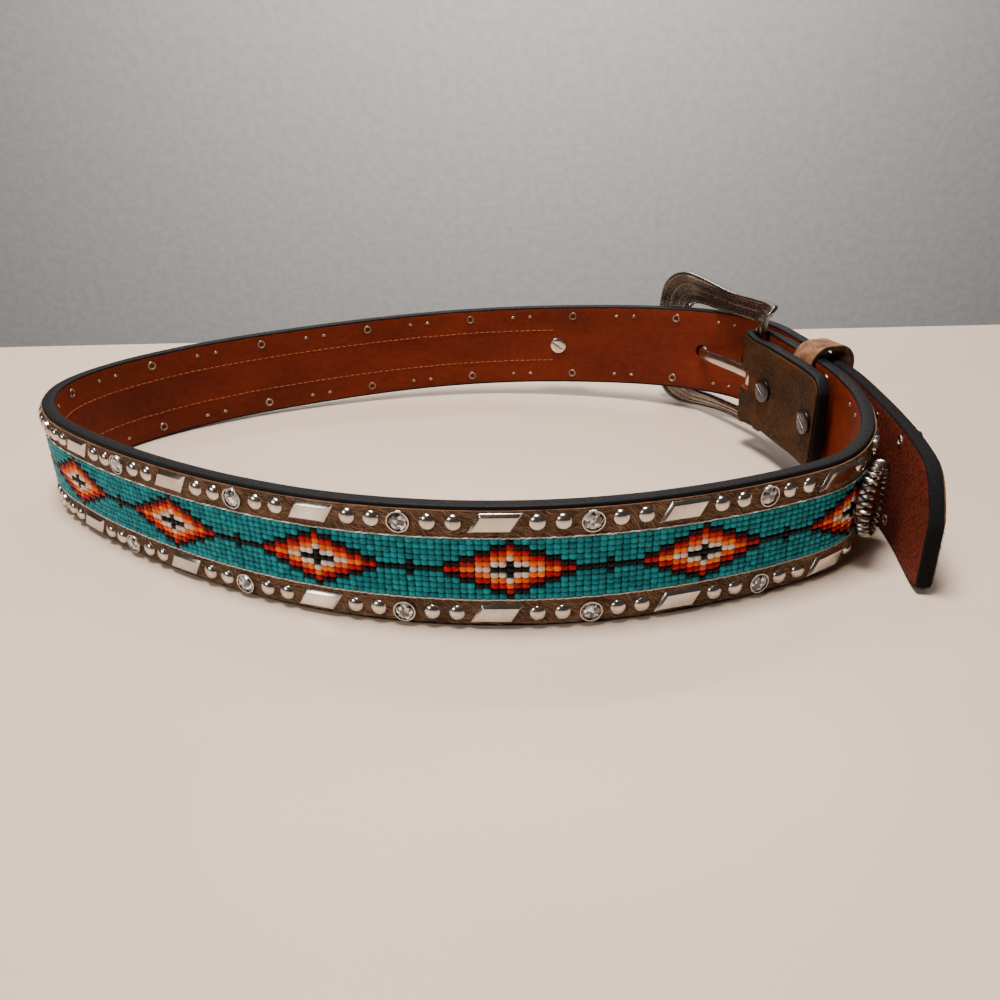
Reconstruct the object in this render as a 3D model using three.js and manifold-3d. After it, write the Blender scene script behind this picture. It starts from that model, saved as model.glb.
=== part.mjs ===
// Beaded leather belt, buckled into a loop and standing on its lower edge.
// Units are millimetres, +Z is up, and the origin is the middle of the footprint at table height.
//
// The strap is one leather core swept along a plan route. The route starts at the cut end of the
// folded flap, turns round the buckle's heel bar, runs once round the loop, passes through the
// buckle and ends at the free tip, which lies outside the first stretch of the same strap.
// A hair-on hide facing with studs covers the core, and a beaded band fills the window in it.

import * as THREE from 'three';
import { mergeVertices } from 'three/addons/utils/BufferGeometryUtils.js';
import Module from 'manifold-3d';

const wasm = await Module();
wasm.setup();

// Strap
const LOOP_ACROSS = 306;
const LOOP_DEEP = 215;
const BUCKLE_RAISE = 11;
const BELT_WIDTH = 38;
const CORE_THICK = 3.4;
const FACING_THICK = 1.1;
const SEAT_GAP = 0.3;
const EDGE_CHAMFER = 0.8;
const STATION_PITCH = 12.5;

// Fold and flap at the buckle end
const FLAP_LENGTH = 53;
const FLAP_INSET = 1.2;
const TONGUE_SLOT_HEIGHT = 9;
const COLLAR_THICK = 1.4;

// Facing, bead band and studs
const FACING_INSET = 0.9;
const BEAD_BAND_WIDTH = 19;
const BEAD_BAND_THICK = 1.7;
const BORDER_LAP = 5;
const STUD_SINK = 0.7;
const STUD_ROW_SPACING = 28.5;
const DOME_RADIUS = 2.3;
const DOME_HEIGHT = 1.4;
const BAR_LENGTH = 11.2;
const BAR_HEIGHT = 5.8;
const BAR_SLANT = 3.2;
const BAR_RISE = 1.1;
const CRYSTAL_RADIUS = 3.05;
const CRYSTAL_HEIGHT = 1.6;

// Conchos over the two ends of the bead band
const CONCHO_RADIUS = 12.4;
const CONCHO_THICK = 4;
const CONCHO_DOME = 2.4;
const CONCHO_LOBES = 18;
const CONCHO_SCREW_RADIUS = 4;

// Buckle
const BUCKLE_LENGTH = 80;
const BUCKLE_HEIGHT = 64;
const BUCKLE_THICK = 3.4;
const HEEL_BAR_WIDTH = 4.5;
const OPENING_DROP = 2.2;
const TONGUE_WIDTH = 5.2;
const TONGUE_THICK = 2.4;
const HOLE_RADIUS = 3;
const HOLE_PITCH = 25;
const HOLE_COUNT = 5;

// Keeper and flap screws
const KEEPER_STATION = 28.6;
const KEEPER_BAND = 12;
const KEEPER_THICK = 1.8;
const KEEPER_HEADROOM = 2.2;
const KEEPER_CORNER_RADIUS = 3.5;
const FLAP_SCREW_STATIONS = [14.9, 45.6];
const FLAP_SCREW_RADIUS = 4.8;
const FLAP_SCREW_HEIGHT = 1.5;

// Sizes that follow from the ones above
const BELT_THICK = CORE_THICK + SEAT_GAP + FACING_THICK;
const INNER_FACE = -BELT_THICK / 2;
const CORE_OUTER = INNER_FACE + CORE_THICK;
const FACING_INNER = CORE_OUTER + SEAT_GAP;
const FACING_OUTER = BELT_THICK / 2;
const MID_HEIGHT = BELT_WIDTH / 2;
const STUD_PROUD = SEAT_GAP + CRYSTAL_HEIGHT;
const LAP_GAP = 1.2;
const LAP_PITCH = BELT_THICK + STUD_PROUD + LAP_GAP;
const BAR_RADIUS = Math.hypot(HEEL_BAR_WIDTH, BUCKLE_THICK) / 2;
const COLLAR_RADIUS = BAR_RADIUS + SEAT_GAP + COLLAR_THICK;
const FOLD_RADIUS = BAR_RADIUS + SEAT_GAP + BELT_THICK / 2;
const FLAP_PITCH = BELT_THICK + KEEPER_THICK + 3 * SEAT_GAP;

// Route of the loop in plan, from the heel bar round the front and the back, short of the buckle.
// across and deep are shares of LOOP_ACROSS and LOOP_DEEP, raise is a share of BUCKLE_RAISE.
const LOOP_ROWS = [
  { across: 0.438, deep: 0.133, raise: 1.0 },
  { across: 0.455, deep: 0.028, raise: 0.85 },
  { across: 0.469, deep: -0.048, raise: 0.71 },
  { across: 0.474, deep: -0.118, raise: 0.56 },
  { across: 0.472, deep: -0.188, raise: 0.4 },
  { across: 0.45, deep: -0.289, raise: 0.18 },
  { across: 0.406, deep: -0.369, raise: 0.05 },
  { across: 0.329, deep: -0.426, raise: 0 },
  { across: 0.22, deep: -0.478, raise: 0 },
  { across: 0.117, deep: -0.5, raise: 0 },
  { across: 0.013, deep: -0.494, raise: 0 },
  { across: -0.091, deep: -0.46, raise: 0 },
  { across: -0.189, deep: -0.4, raise: 0 },
  { across: -0.287, deep: -0.316, raise: 0 },
  { across: -0.38, deep: -0.215, raise: 0 },
  { across: -0.452, deep: -0.114, raise: 0 },
  { across: -0.492, deep: -0.012, raise: 0 },
  { across: -0.5, deep: 0.084, raise: 0 },
  { across: -0.475, deep: 0.184, raise: 0 },
  { across: -0.417, deep: 0.28, raise: 0.04 },
  { across: -0.334, deep: 0.361, raise: 0.11 },
  { across: -0.232, deep: 0.427, raise: 0.2 },
  { across: -0.125, deep: 0.475, raise: 0.31 },
  { across: -0.017, deep: 0.5, raise: 0.43 },
  { across: 0.089, deep: 0.499, raise: 0.55 },
  { across: 0.196, deep: 0.47, raise: 0.68 },
];

// Route of the pass through the buckle, laid out in the buckle's frame: along in shares of
// BUCKLE_LENGTH, depth in buckle thicknesses.
const PASS_ROWS = [
  { along: 0.926, depth: -2.92, raise: 0.82 },
  { along: 0.65, depth: 1.5, raise: 0.94 },
  { along: 0.4, depth: 3.91, raise: 1.0 },
];

// Route of the tip, laid out from the heel end of the same strap.
// along is a share of LOOP_DEEP past the heel bar, out is in lap pitches outward.
const TIP_ROWS = [
  { along: -0.047, out: 0.97, raise: 0.98 },
  { along: 0.042, out: 1.02, raise: 0.87 },
  { along: 0.13, out: 1.0, raise: 0.7 },
  { along: 0.206, out: 1.0, raise: 0.5 },
  { along: 0.278, out: 1.06, raise: 0.3 },
  { along: 0.345, out: 1.3, raise: 0.14 },
  { along: 0.41, out: 1.72, raise: 0.05 },
  { along: 0.472, out: 2.46, raise: 0 },
  { along: 0.521, out: 3.59, raise: 0 },
];

// How the strap's height closes in near the tip and near the flap's cut end.
// back is a share of BELT_WIDTH before the end, low and high are shares of the section's height.
const TIP_END_ROWS = [
  { back: 0.62, low: 0, high: 1 },
  { back: 0.36, low: 0, high: 0.97 },
  { back: 0.18, low: 0.005, high: 0.88 },
  { back: 0.07, low: 0.02, high: 0.76 },
  { back: 0, low: 0.07, high: 0.58 },
];
const FLAP_END_ROWS = [
  { back: 0.16, low: 0, high: 1 },
  { back: 0.07, low: 0.03, high: 0.97 },
  { back: 0, low: 0.13, high: 0.87 },
];

// Places along the main run, from the heel bar to the tip, as shares of its whole length.
const BEAD_BAND_SPAN = { start: 0.1071, end: 0.7295 };
const CONCHO_SHARES = [0.1072, 0.7333];
const STUD_START = 0.0447;
// Crystal spacing in the same shares: the front run, the left bend and the back run.
const STUD_RUNS = [
  { pitch: 0.0552, repeats: 7 },
  { pitch: 0.0462, repeats: 2 },
  { pitch: 0.05433, repeats: 8 },
];
// Places of the other studs between one crystal and the next, as shares of that pitch.
const DOME_SHARES = [0.15, 0.285, 0.715, 0.85];
const BAR_SHARE = 0.5;

// Half outline of the buckle frame from the middle of the heel bar to the middle of the front.
// along and openAlong are shares of BUCKLE_LENGTH, up and openUp shares of half BUCKLE_HEIGHT,
// depth and openDepth the outward bow at the rim and at the opening, in buckle thicknesses.
const BUCKLE_ROWS = [
  { along: 0, up: 0, depth: 0, openAlong: 0.056, openUp: 0, openDepth: 0 },
  { along: 0, up: 0.4, depth: 0, openAlong: 0.056, openUp: 0.4, openDepth: 0 },
  { along: 0, up: 0.71, depth: 0, openAlong: 0.056, openUp: 0.61, openDepth: 0 },
  { along: 0, up: 0.79, depth: 0.8, openAlong: 0.066, openUp: 0.625, openDepth: 0.5 },
  { along: 0.03, up: 0.84, depth: 1.7, openAlong: 0.1, openUp: 0.628, openDepth: 1.5 },
  { along: 0.1, up: 0.85, depth: 2.2, openAlong: 0.15, openUp: 0.628, openDepth: 2.2 },
  { along: 0.22, up: 0.85, depth: 2.35, openAlong: 0.24, openUp: 0.628, openDepth: 2.35 },
  { along: 0.4, up: 0.85, depth: 2.35, openAlong: 0.38, openUp: 0.628, openDepth: 2.35 },
  { along: 0.58, up: 0.91, depth: 2.25, openAlong: 0.54, openUp: 0.628, openDepth: 2.3 },
  { along: 0.7, up: 0.955, depth: 2.0, openAlong: 0.63, openUp: 0.63, openDepth: 2.2 },
  { along: 0.8, up: 0.975, depth: 1.7, openAlong: 0.71, openUp: 0.61, openDepth: 2.15 },
  { along: 0.9, up: 0.9, depth: 1.2, openAlong: 0.76, openUp: 0.54, openDepth: 2.1 },
  { along: 0.965, up: 0.73, depth: 0.9, openAlong: 0.78, openUp: 0.4, openDepth: 2.1 },
  { along: 0.995, up: 0.4, depth: 0.75, openAlong: 0.79, openUp: 0.2, openDepth: 2.1 },
  { along: 1.0, up: 0, depth: 0.7, openAlong: 0.79, openUp: 0, openDepth: 2.1 },
];
// Section across the frame: place from the opening (0) to the rim (1), and depth as a share of
// BUCKLE_THICK from the middle surface, positive outward.
const FRAME_SECTION = [
  { across: 0, depth: 0.25 },
  { across: 0.14, depth: 0.46 },
  { across: 0.5, depth: 0.5 },
  { across: 0.86, depth: 0.46 },
  { across: 1, depth: 0.2 },
  { across: 1, depth: -0.3 },
  { across: 0.82, depth: -0.5 },
  { across: 0.5, depth: -0.1 },
  { across: 0.18, depth: -0.5 },
  { across: 0, depth: -0.25 },
];
// The tongue before and after the hole: along in shares of BUCKLE_LENGTH, depth in buckle
// thicknesses. HOLE_ALONG is the hole in use, in the same shares.
const HOLE_ALONG = 0.61;
const TONGUE_ROOT_ROWS = [
  { along: 0.07, depth: 0.5 },
  { along: 0.25, depth: 0.88 },
  { along: 0.425, depth: 0.8 },
];
const TONGUE_END_ROWS = [
  { along: 0.7, depth: 2.91 },
  { along: 0.788, depth: 2.87 },
  { along: 0.869, depth: 2.79 },
];

// Corners of the keeper's loop in order round it: side outward, side up, and the quarter turn
// that the corner's bend starts at.
const KEEPER_CORNERS = [
  { deep: 1, tall: 1, turn: 0 },
  { deep: -1, tall: 1, turn: 1 },
  { deep: -1, tall: -1, turn: 2 },
  { deep: 1, tall: -1, turn: 3 },
];

// Solid helpers
function solidFromMesh(positions, indices) {
  const geometry = new THREE.BufferGeometry();
  geometry.setAttribute('position', new THREE.Float32BufferAttribute(positions, 3));
  geometry.setIndex(indices);
  return outwardFacing(geometry);
}

function signedVolume(geometry) {
  const p = geometry.attributes.position;
  const index = geometry.index;
  const a = new THREE.Vector3();
  const b = new THREE.Vector3();
  const c = new THREE.Vector3();
  let total = 0;
  for (let i = 0; i < index.count; i += 3) {
    a.fromBufferAttribute(p, index.getX(i));
    b.fromBufferAttribute(p, index.getX(i + 1));
    c.fromBufferAttribute(p, index.getX(i + 2));
    total += a.dot(b.cross(c)) / 6;
  }
  return total;
}

function outwardFacing(geometry) {
  if (signedVolume(geometry) < 0) {
    const index = geometry.index.array;
    for (let i = 0; i < index.length; i += 3) {
      const first = index[i];
      index[i] = index[i + 1];
      index[i + 1] = first;
    }
  }
  return geometry;
}

// Joins rings of points into one closed body; a closed loop has no end caps.
function loft(rings, closed) {
  const count = rings[0].length;
  const positions = rings.flat().flatMap((point) => point.toArray());
  const indices = [];
  const spans = closed ? rings.length : rings.length - 1;
  for (let i = 0; i < spans; i += 1) {
    const next = (i + 1) % rings.length;
    for (let j = 0; j < count; j += 1) {
      const k = (j + 1) % count;
      const corners = [i * count + j, i * count + k, next * count + k, next * count + j];
      indices.push(corners[0], corners[1], corners[2], corners[0], corners[2], corners[3]);
    }
  }
  if (!closed) {
    const last = (rings.length - 1) * count;
    for (let j = 1; j < count - 1; j += 1) {
      indices.push(0, j + 1, j, last, last + j, last + j + 1);
    }
  }
  return solidFromMesh(positions, indices);
}

function manifoldOf(geometry) {
  const bare = geometry.clone();
  bare.deleteAttribute('normal');
  bare.deleteAttribute('uv');
  const merged = mergeVertices(bare, 1e-4);
  return new wasm.Manifold(new wasm.Mesh({
    numProp: 3,
    vertProperties: new Float32Array(merged.attributes.position.array),
    triVerts: new Uint32Array(merged.index.array),
  }));
}

function geometryOf(solid) {
  const mesh = solid.getMesh();
  const geometry = new THREE.BufferGeometry();
  geometry.setAttribute('position', new THREE.BufferAttribute(mesh.vertProperties, 3));
  geometry.setIndex(new THREE.BufferAttribute(mesh.triVerts, 1));
  return geometry;
}

function join(geometries) {
  let solid = manifoldOf(geometries[0]);
  for (const geometry of geometries.slice(1)) {
    solid = solid.add(manifoldOf(geometry));
  }
  return geometryOf(solid);
}

function cut(geometry, tools) {
  let solid = manifoldOf(geometry);
  for (const tool of tools) {
    solid = solid.subtract(manifoldOf(tool));
  }
  return geometryOf(solid);
}

// Looks up a table column by another column, with straight lines between rows.
function lookUp(rows, key, value, column) {
  if (value <= rows[0][key]) return rows[0][column];
  for (let i = 1; i < rows.length; i += 1) {
    if (value <= rows[i][key]) {
      const share = (value - rows[i - 1][key]) / (rows[i][key] - rows[i - 1][key]);
      return THREE.MathUtils.lerp(rows[i - 1][column], rows[i][column], share);
    }
  }
  return rows[rows.length - 1][column];
}

// A path is a list of plan points with the strap's raise as z, and its running plan length.
function makePath(points) {
  const lengths = [0];
  for (let i = 1; i < points.length; i += 1) {
    const step = Math.hypot(points[i].x - points[i - 1].x, points[i].y - points[i - 1].y);
    lengths.push(lengths[i - 1] + step);
  }
  return { points, lengths, total: lengths[lengths.length - 1] };
}

// A smooth path through control points, kept at or above table height.
function smoothPath(controls) {
  const curve = new THREE.CatmullRomCurve3(controls, false, 'centripetal');
  const points = curve.getPoints((controls.length - 1) * 24);
  return makePath(points.map((point) => point.setZ(Math.max(point.z, 0))));
}

// Place on a path: point, direction of travel and outward normal (to the left of travel).
function placeAt(path, distance) {
  const { points, lengths } = path;
  let i = 1;
  while (i < points.length - 1 && lengths[i] < distance) i += 1;
  const share = (distance - lengths[i - 1]) / (lengths[i] - lengths[i - 1]);
  const point = points[i - 1].clone().lerp(points[i], share);
  const along = points[i].clone().sub(points[i - 1]).setZ(0).normalize();
  const outward = new THREE.Vector3(-along.y, along.x, 0);
  return { point, along, outward };
}

function offsetPlace(place, along, outward) {
  return place.point.clone().addScaledVector(place.along, along).addScaledVector(place.outward, outward);
}

const loopPoints = LOOP_ROWS.map((row) => new THREE.Vector3(
  row.across * LOOP_ACROSS,
  row.deep * LOOP_DEEP,
  row.raise * BUCKLE_RAISE,
));
const loopRun = smoothPath(loopPoints);

// Centre of the heel bar, inside the first place of the loop.
const heelPlace = placeAt(loopRun, 0);
const heelBar = offsetPlace(heelPlace, 0, -FOLD_RADIUS);

// Buckle frame coordinates: along from the heel bar to the front, depth outward, up from its middle.
const heelTop = BUCKLE_HEIGHT / 2;
const frameAlong = new THREE.Vector3(-0.386, 0.922, 0).normalize();
const frameOut = new THREE.Vector3(frameAlong.y, -frameAlong.x, 0);

function inFrame(along, depth, up) {
  return new THREE.Vector3(heelBar.x, heelBar.y, heelTop + up)
    .addScaledVector(frameAlong, along - HEEL_BAR_WIDTH / 2)
    .addScaledVector(frameOut, depth);
}

// The main run: round the loop, through the buckle, then over the heel end to the tip.
function mainRunPath() {
  const passPoints = PASS_ROWS.map((row) => (
    inFrame(row.along * BUCKLE_LENGTH, row.depth * BUCKLE_THICK, 0).setZ(row.raise * BUCKLE_RAISE)));
  const tipPoints = TIP_ROWS.map((row) => {
    const distance = row.along * LOOP_DEEP;
    const start = placeAt(loopRun, Math.max(distance, 0));
    const point = offsetPlace(start, Math.min(distance, 0), row.out * LAP_PITCH);
    return point.setZ(row.raise * BUCKLE_RAISE);
  });
  return smoothPath([...loopPoints, ...passPoints, ...tipPoints]);
}

const mainRun = mainRunPath();

// The whole strap: flap back along the inside, half turn round the bar, then the main run.
function strapPath() {
  const flap = [];
  const flapSteps = 16;
  for (let i = flapSteps; i > 0; i -= 1) {
    const distance = (i / flapSteps) * FLAP_LENGTH;
    const blend = Math.min(distance / (FLAP_LENGTH / 4), 1);
    const pitch = THREE.MathUtils.lerp(2 * FOLD_RADIUS, FLAP_PITCH, blend);
    flap.push(offsetPlace(placeAt(mainRun, distance), 0, -pitch));
  }
  const turn = [];
  const turnSteps = 10;
  for (let i = 0; i < turnSteps; i += 1) {
    const angle = Math.PI * (1 - i / turnSteps);
    const out = Math.cos(angle) * FOLD_RADIUS;
    const back = -Math.sin(angle) * FOLD_RADIUS;
    turn.push(heelBar.clone().addScaledVector(heelPlace.outward, out).addScaledVector(heelPlace.along, back));
  }
  return { path: makePath([...flap, ...turn, ...mainRun.points]), foldEnd: flap.length, turnSteps };
}

const strapRoute = strapPath();
const route = strapRoute.path;
// Length of the flap and the half turn: distances along the main run start after it.
const LEAD = route.lengths[strapRoute.foldEnd + strapRoute.turnSteps];
const MAIN_LENGTH = route.total - LEAD;
const TURN_START = route.lengths[strapRoute.foldEnd] - LEAD;
const BEAD_BAND_START = BEAD_BAND_SPAN.start * MAIN_LENGTH;
const BEAD_BAND_END = BEAD_BAND_SPAN.end * MAIN_LENGTH;
const CONCHO_STATIONS = CONCHO_SHARES.map((share) => share * MAIN_LENGTH);

// Distance along the main run at which its last pass crosses a line across the buckle.
function crossingOf(along) {
  const ahead = (point) => point.clone().sub(heelBar).dot(frameAlong) + HEEL_BAR_WIDTH / 2 - along;
  let i = mainRun.points.length - 1;
  while (ahead(mainRun.points[i]) < 0) i -= 1;
  return mainRun.lengths[i];
}

const FIRST_HOLE = crossingOf(HOLE_ALONG * BUCKLE_LENGTH);

// Stations of the sweep, as distances along the main run; the flap and turn are below zero.
function stationList() {
  const wanted = new Set();
  const steps = Math.ceil(MAIN_LENGTH / STATION_PITCH);
  for (let i = 0; i <= steps; i += 1) wanted.add((i / steps) * MAIN_LENGTH);
  const flapSteps = 5;
  for (let i = 0; i < flapSteps; i += 1) {
    wanted.add(-LEAD + (i / flapSteps) * (LEAD + TURN_START));
  }
  const turnSteps = 6;
  for (let i = 0; i < turnSteps; i += 1) wanted.add(TURN_START * (1 - i / turnSteps));
  const fixed = [BEAD_BAND_START - BORDER_LAP, BEAD_BAND_START, BEAD_BAND_END, BEAD_BAND_END + BORDER_LAP];
  for (const row of TIP_END_ROWS) fixed.push(MAIN_LENGTH - row.back * BELT_WIDTH);
  for (const row of FLAP_END_ROWS) fixed.push(-LEAD + row.back * BELT_WIDTH);
  const near = (value) => fixed.some((other) => Math.abs(other - value) < 1.5);
  return [...fixed, ...[...wanted].filter((value) => !near(value))].sort((a, b) => a - b);
}

const STATIONS = stationList();
const stationPath = makePath(STATIONS.map((distance) => placeAt(route, LEAD + distance).point));

// Outward normals at the stations, halfway between the neighbouring chords.
const stationNormals = STATIONS.map((_, i) => {
  const before = stationPath.points[Math.max(i - 1, 0)];
  const after = stationPath.points[Math.min(i + 1, STATIONS.length - 1)];
  const along = after.clone().sub(before).setZ(0).normalize();
  return new THREE.Vector3(-along.y, along.x, 0);
});

// The point of the faceted strap's middle at a distance along it.
function stationPoint(distance) {
  let i = 1;
  while (i < STATIONS.length - 1 && STATIONS[i] < distance) i += 1;
  const share = (distance - STATIONS[i - 1]) / (STATIONS[i] - STATIONS[i - 1]);
  return stationPath.points[i - 1].clone().lerp(stationPath.points[i], share);
}

// A flat seat for a piece that reaches a given way each side of its middle. The seat touches the
// facets it spans at their highest point outward (side 1) or inward (side -1).
function seatPlace(distance, reach, side) {
  const from = stationPoint(distance - reach);
  const to = stationPoint(distance + reach);
  const along = to.clone().sub(from).setZ(0).normalize();
  const outward = new THREE.Vector3(-along.y, along.x, 0);
  const point = stationPoint(distance);
  const spanned = STATIONS.filter((station) => Math.abs(station - distance) < reach).map(stationPoint);
  const proud = [from, to, ...spanned].map((spot) => spot.sub(point).dot(outward) * side);
  point.addScaledVector(outward, Math.max(0, ...proud) * side);
  return { point, along, outward };
}

// Lower and upper limit of the strap's section at a station, as heights above its lower edge.
function sectionLimits(distance) {
  if (distance > MAIN_LENGTH - BELT_WIDTH) {
    const back = (MAIN_LENGTH - distance) / BELT_WIDTH;
    const rows = [...TIP_END_ROWS].reverse();
    return [lookUp(rows, 'back', back, 'low') * BELT_WIDTH, lookUp(rows, 'back', back, 'high') * BELT_WIDTH];
  }
  if (distance < TURN_START) {
    const back = (distance + LEAD) / BELT_WIDTH;
    const rows = [...FLAP_END_ROWS].reverse();
    const height = BELT_WIDTH - 2 * FLAP_INSET;
    return [
      FLAP_INSET + lookUp(rows, 'back', back, 'low') * height,
      FLAP_INSET + lookUp(rows, 'back', back, 'high') * height,
    ];
  }
  return [0, BELT_WIDTH];
}

// Sweeps a section given as points of depth and height over the stations between two distances.
function sweep(start, end, sectionAt) {
  const rings = [];
  STATIONS.forEach((distance, i) => {
    if (distance < start - 1e-6 || distance > end + 1e-6) return;
    const normal = stationNormals[i];
    const base = stationPath.points[i];
    rings.push(sectionAt(distance).map(([depth, height]) => (
      base.clone().addScaledVector(normal, depth).add(new THREE.Vector3(0, 0, height))
    )));
  });
  return loft(rings, false);
}

function bandSection(inner, outer, low, high) {
  return [[inner, low], [outer, low], [outer, high], [inner, high]];
}

function coreSection(distance) {
  const [low, high] = sectionLimits(distance);
  const c = EDGE_CHAMFER;
  return [
    [INNER_FACE, low + c], [INNER_FACE + c, low], [CORE_OUTER - c, low], [CORE_OUTER, low + c],
    [CORE_OUTER, high - c], [CORE_OUTER - c, high], [INNER_FACE + c, high], [INNER_FACE, high - c],
  ];
}

// A round tool or pin through the strap at a distance along it, lying along the outward normal.
function crossPin(distance, radius, from, to, sides) {
  const place = seatPlace(distance, radius, 1);
  const pin = new THREE.CylinderGeometry(radius, radius, to - from, sides);
  const centre = offsetPlace(place, 0, (from + to) / 2).add(new THREE.Vector3(0, 0, MID_HEIGHT));
  return pin.applyMatrix4(onStrap(place, centre));
}

// Frame with X along the strap, Z up and Y inward, so that a cylinder's axis lies across the strap.
function onStrap(place, centre) {
  const up = new THREE.Vector3(0, 0, 1);
  const inward = place.outward.clone().negate();
  return new THREE.Matrix4().makeBasis(inward.clone().cross(up), inward, up).setPosition(centre);
}

// The slot in the fold that lets the tongue's root turn round the bar.
function tongueSlot() {
  const reach = 2 * (FOLD_RADIUS + BELT_THICK);
  const slot = new THREE.BoxGeometry(reach, reach, TONGUE_SLOT_HEIGHT);
  const centre = heelBar.clone().add(new THREE.Vector3(0, 0, MID_HEIGHT));
  const nearEnd = COLLAR_RADIUS + SEAT_GAP;
  centre.addScaledVector(heelPlace.along, nearEnd - reach / 2);
  const turn = Math.atan2(heelPlace.along.y, heelPlace.along.x);
  return slot.applyMatrix4(new THREE.Matrix4().makeRotationZ(turn).setPosition(centre));
}

function holeTools() {
  const tools = [];
  for (let i = 0; i < HOLE_COUNT; i += 1) {
    tools.push(crossPin(FIRST_HOLE + i * HOLE_PITCH, HOLE_RADIUS, -BELT_THICK, BELT_THICK, 12));
  }
  return tools;
}

function strapCore() {
  return cut(sweep(-LEAD, MAIN_LENGTH, coreSection), [tongueSlot(), ...holeTools()]);
}

// Studs are set in local coordinates: X along the strap, Y up, Z outward from the hide.
function setStud(geometry, distance, height, depth, reach) {
  const place = seatPlace(distance, reach, 1);
  const centre = offsetPlace(place, 0, depth).add(new THREE.Vector3(0, 0, height));
  const basis = new THREE.Matrix4().makeBasis(place.along, new THREE.Vector3(0, 0, 1), place.outward);
  // The basis is left-handed, so the faces are turned round after it.
  return outwardFacing(geometry.applyMatrix4(basis.setPosition(centre)));
}

function crystalPlaces() {
  const places = [];
  let share = STUD_START;
  const place = (run) => places.push({ distance: share * MAIN_LENGTH, pitch: run.pitch * MAIN_LENGTH });
  for (const run of STUD_RUNS) {
    for (let i = 0; i < run.repeats; i += 1) {
      place(run);
      share += run.pitch;
    }
  }
  place(STUD_RUNS[STUD_RUNS.length - 1]);
  return places;
}

// The crystal place one pitch before the first, hidden in the fold: only its studs are made.
function crystalBeforeFirst() {
  const [first] = crystalPlaces();
  return { distance: first.distance - first.pitch, pitch: first.pitch };
}

// A stud stays clear of the conchos, of the strap's ends and of the buckle's fold.
function hasRoom(distance, reach) {
  const rowOffset = STUD_ROW_SPACING / 2;
  const clearOfConchos = CONCHO_STATIONS.every((station) => (
    Math.hypot(distance - station, rowOffset) > CONCHO_RADIUS + reach + SEAT_GAP / 2
  ));
  return clearOfConchos && distance > reach + 1 && distance < MAIN_LENGTH - BELT_WIDTH * 0.45;
}

const STUD_HEIGHTS = { upper: MID_HEIGHT + STUD_ROW_SPACING / 2, lower: MID_HEIGHT - STUD_ROW_SPACING / 2 };

// A round nailhead stud as a low cone, sunk a little into the hide.
function domeStud() {
  const cone = new THREE.ConeGeometry(DOME_RADIUS, DOME_HEIGHT + STUD_SINK, 6);
  cone.rotateX(Math.PI / 2);
  cone.translate(0, 0, (DOME_HEIGHT - STUD_SINK) / 2);
  return mergeVertices(stripped(cone), 1e-4);
}

function barStud() {
  const outline = (inset, depth) => {
    const half = BAR_LENGTH / 2 - inset;
    const rise = BAR_HEIGHT / 2 - inset * 0.6;
    const shift = BAR_SLANT / 2;
    return [
      new THREE.Vector3(-half + shift, -rise, depth),
      new THREE.Vector3(half + shift, -rise, depth),
      new THREE.Vector3(half - shift, rise, depth),
      new THREE.Vector3(-half - shift, rise, depth),
    ];
  };
  return loft([outline(0, -STUD_SINK), outline(BAR_RISE, BAR_RISE)], false);
}

function studPieces() {
  const studs = [];
  for (const height of Object.values(STUD_HEIGHTS)) {
    for (const { distance, pitch } of [crystalBeforeFirst(), ...crystalPlaces()]) {
      for (const share of DOME_SHARES) {
        const at = distance + share * pitch;
        if (hasRoom(at, DOME_RADIUS)) studs.push(setStud(domeStud(), at, height, FACING_OUTER, DOME_RADIUS));
      }
      const barAt = distance + BAR_SHARE * pitch;
      if (hasRoom(barAt, BAR_LENGTH / 2)) studs.push(setStud(barStud(), barAt, height, FACING_OUTER, DOME_RADIUS));
    }
  }
  return studs;
}

// The hide facing: two borders along the bead band, joined by full panels beyond its ends.
function hideFacing() {
  const windowLow = MID_HEIGHT - BEAD_BAND_WIDTH / 2 - SEAT_GAP;
  const windowHigh = MID_HEIGHT + BEAD_BAND_WIDTH / 2 + SEAT_GAP;
  const border = (low, high) => () => bandSection(FACING_INNER, FACING_OUTER, low, high);
  const panel = (distance) => {
    const [low, high] = sectionLimits(distance);
    return bandSection(FACING_INNER, FACING_OUTER, low + FACING_INSET, high - FACING_INSET);
  };
  const from = BEAD_BAND_START - BORDER_LAP;
  const to = BEAD_BAND_END + BORDER_LAP;
  const plain = join([
    sweep(-LEAD, BEAD_BAND_START, panel),
    sweep(BEAD_BAND_END, MAIN_LENGTH, panel),
    sweep(from, to, border(FACING_INSET, windowLow)),
    sweep(from, to, border(windowHigh, BELT_WIDTH - FACING_INSET)),
  ]);
  return join([cut(plain, [tongueSlot(), ...holeTools()]), ...studPieces()]);
}

function beadBand() {
  const low = MID_HEIGHT - BEAD_BAND_WIDTH / 2;
  const high = MID_HEIGHT + BEAD_BAND_WIDTH / 2;
  const section = bandSection(FACING_INNER, FACING_INNER + BEAD_BAND_THICK, low, high);
  // The band's cut ends keep a gap to the panels of hide beyond them.
  const ends = [BEAD_BAND_START, BEAD_BAND_END];
  const rings = [];
  STATIONS.forEach((distance, i) => {
    if (distance < ends[0] - 1e-6 || distance > ends[1] + 1e-6) return;
    let inset = 0;
    if (Math.abs(distance - ends[0]) < 1e-6) inset = SEAT_GAP;
    if (Math.abs(distance - ends[1]) < 1e-6) inset = -SEAT_GAP;
    const normal = stationNormals[i];
    const along = new THREE.Vector3(normal.y, -normal.x, 0);
    rings.push(section.map(([depth, height]) => stationPath.points[i].clone()
      .addScaledVector(normal, depth).addScaledVector(along, inset)
      .add(new THREE.Vector3(0, 0, height))));
  });
  return loft(rings, false);
}

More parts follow.
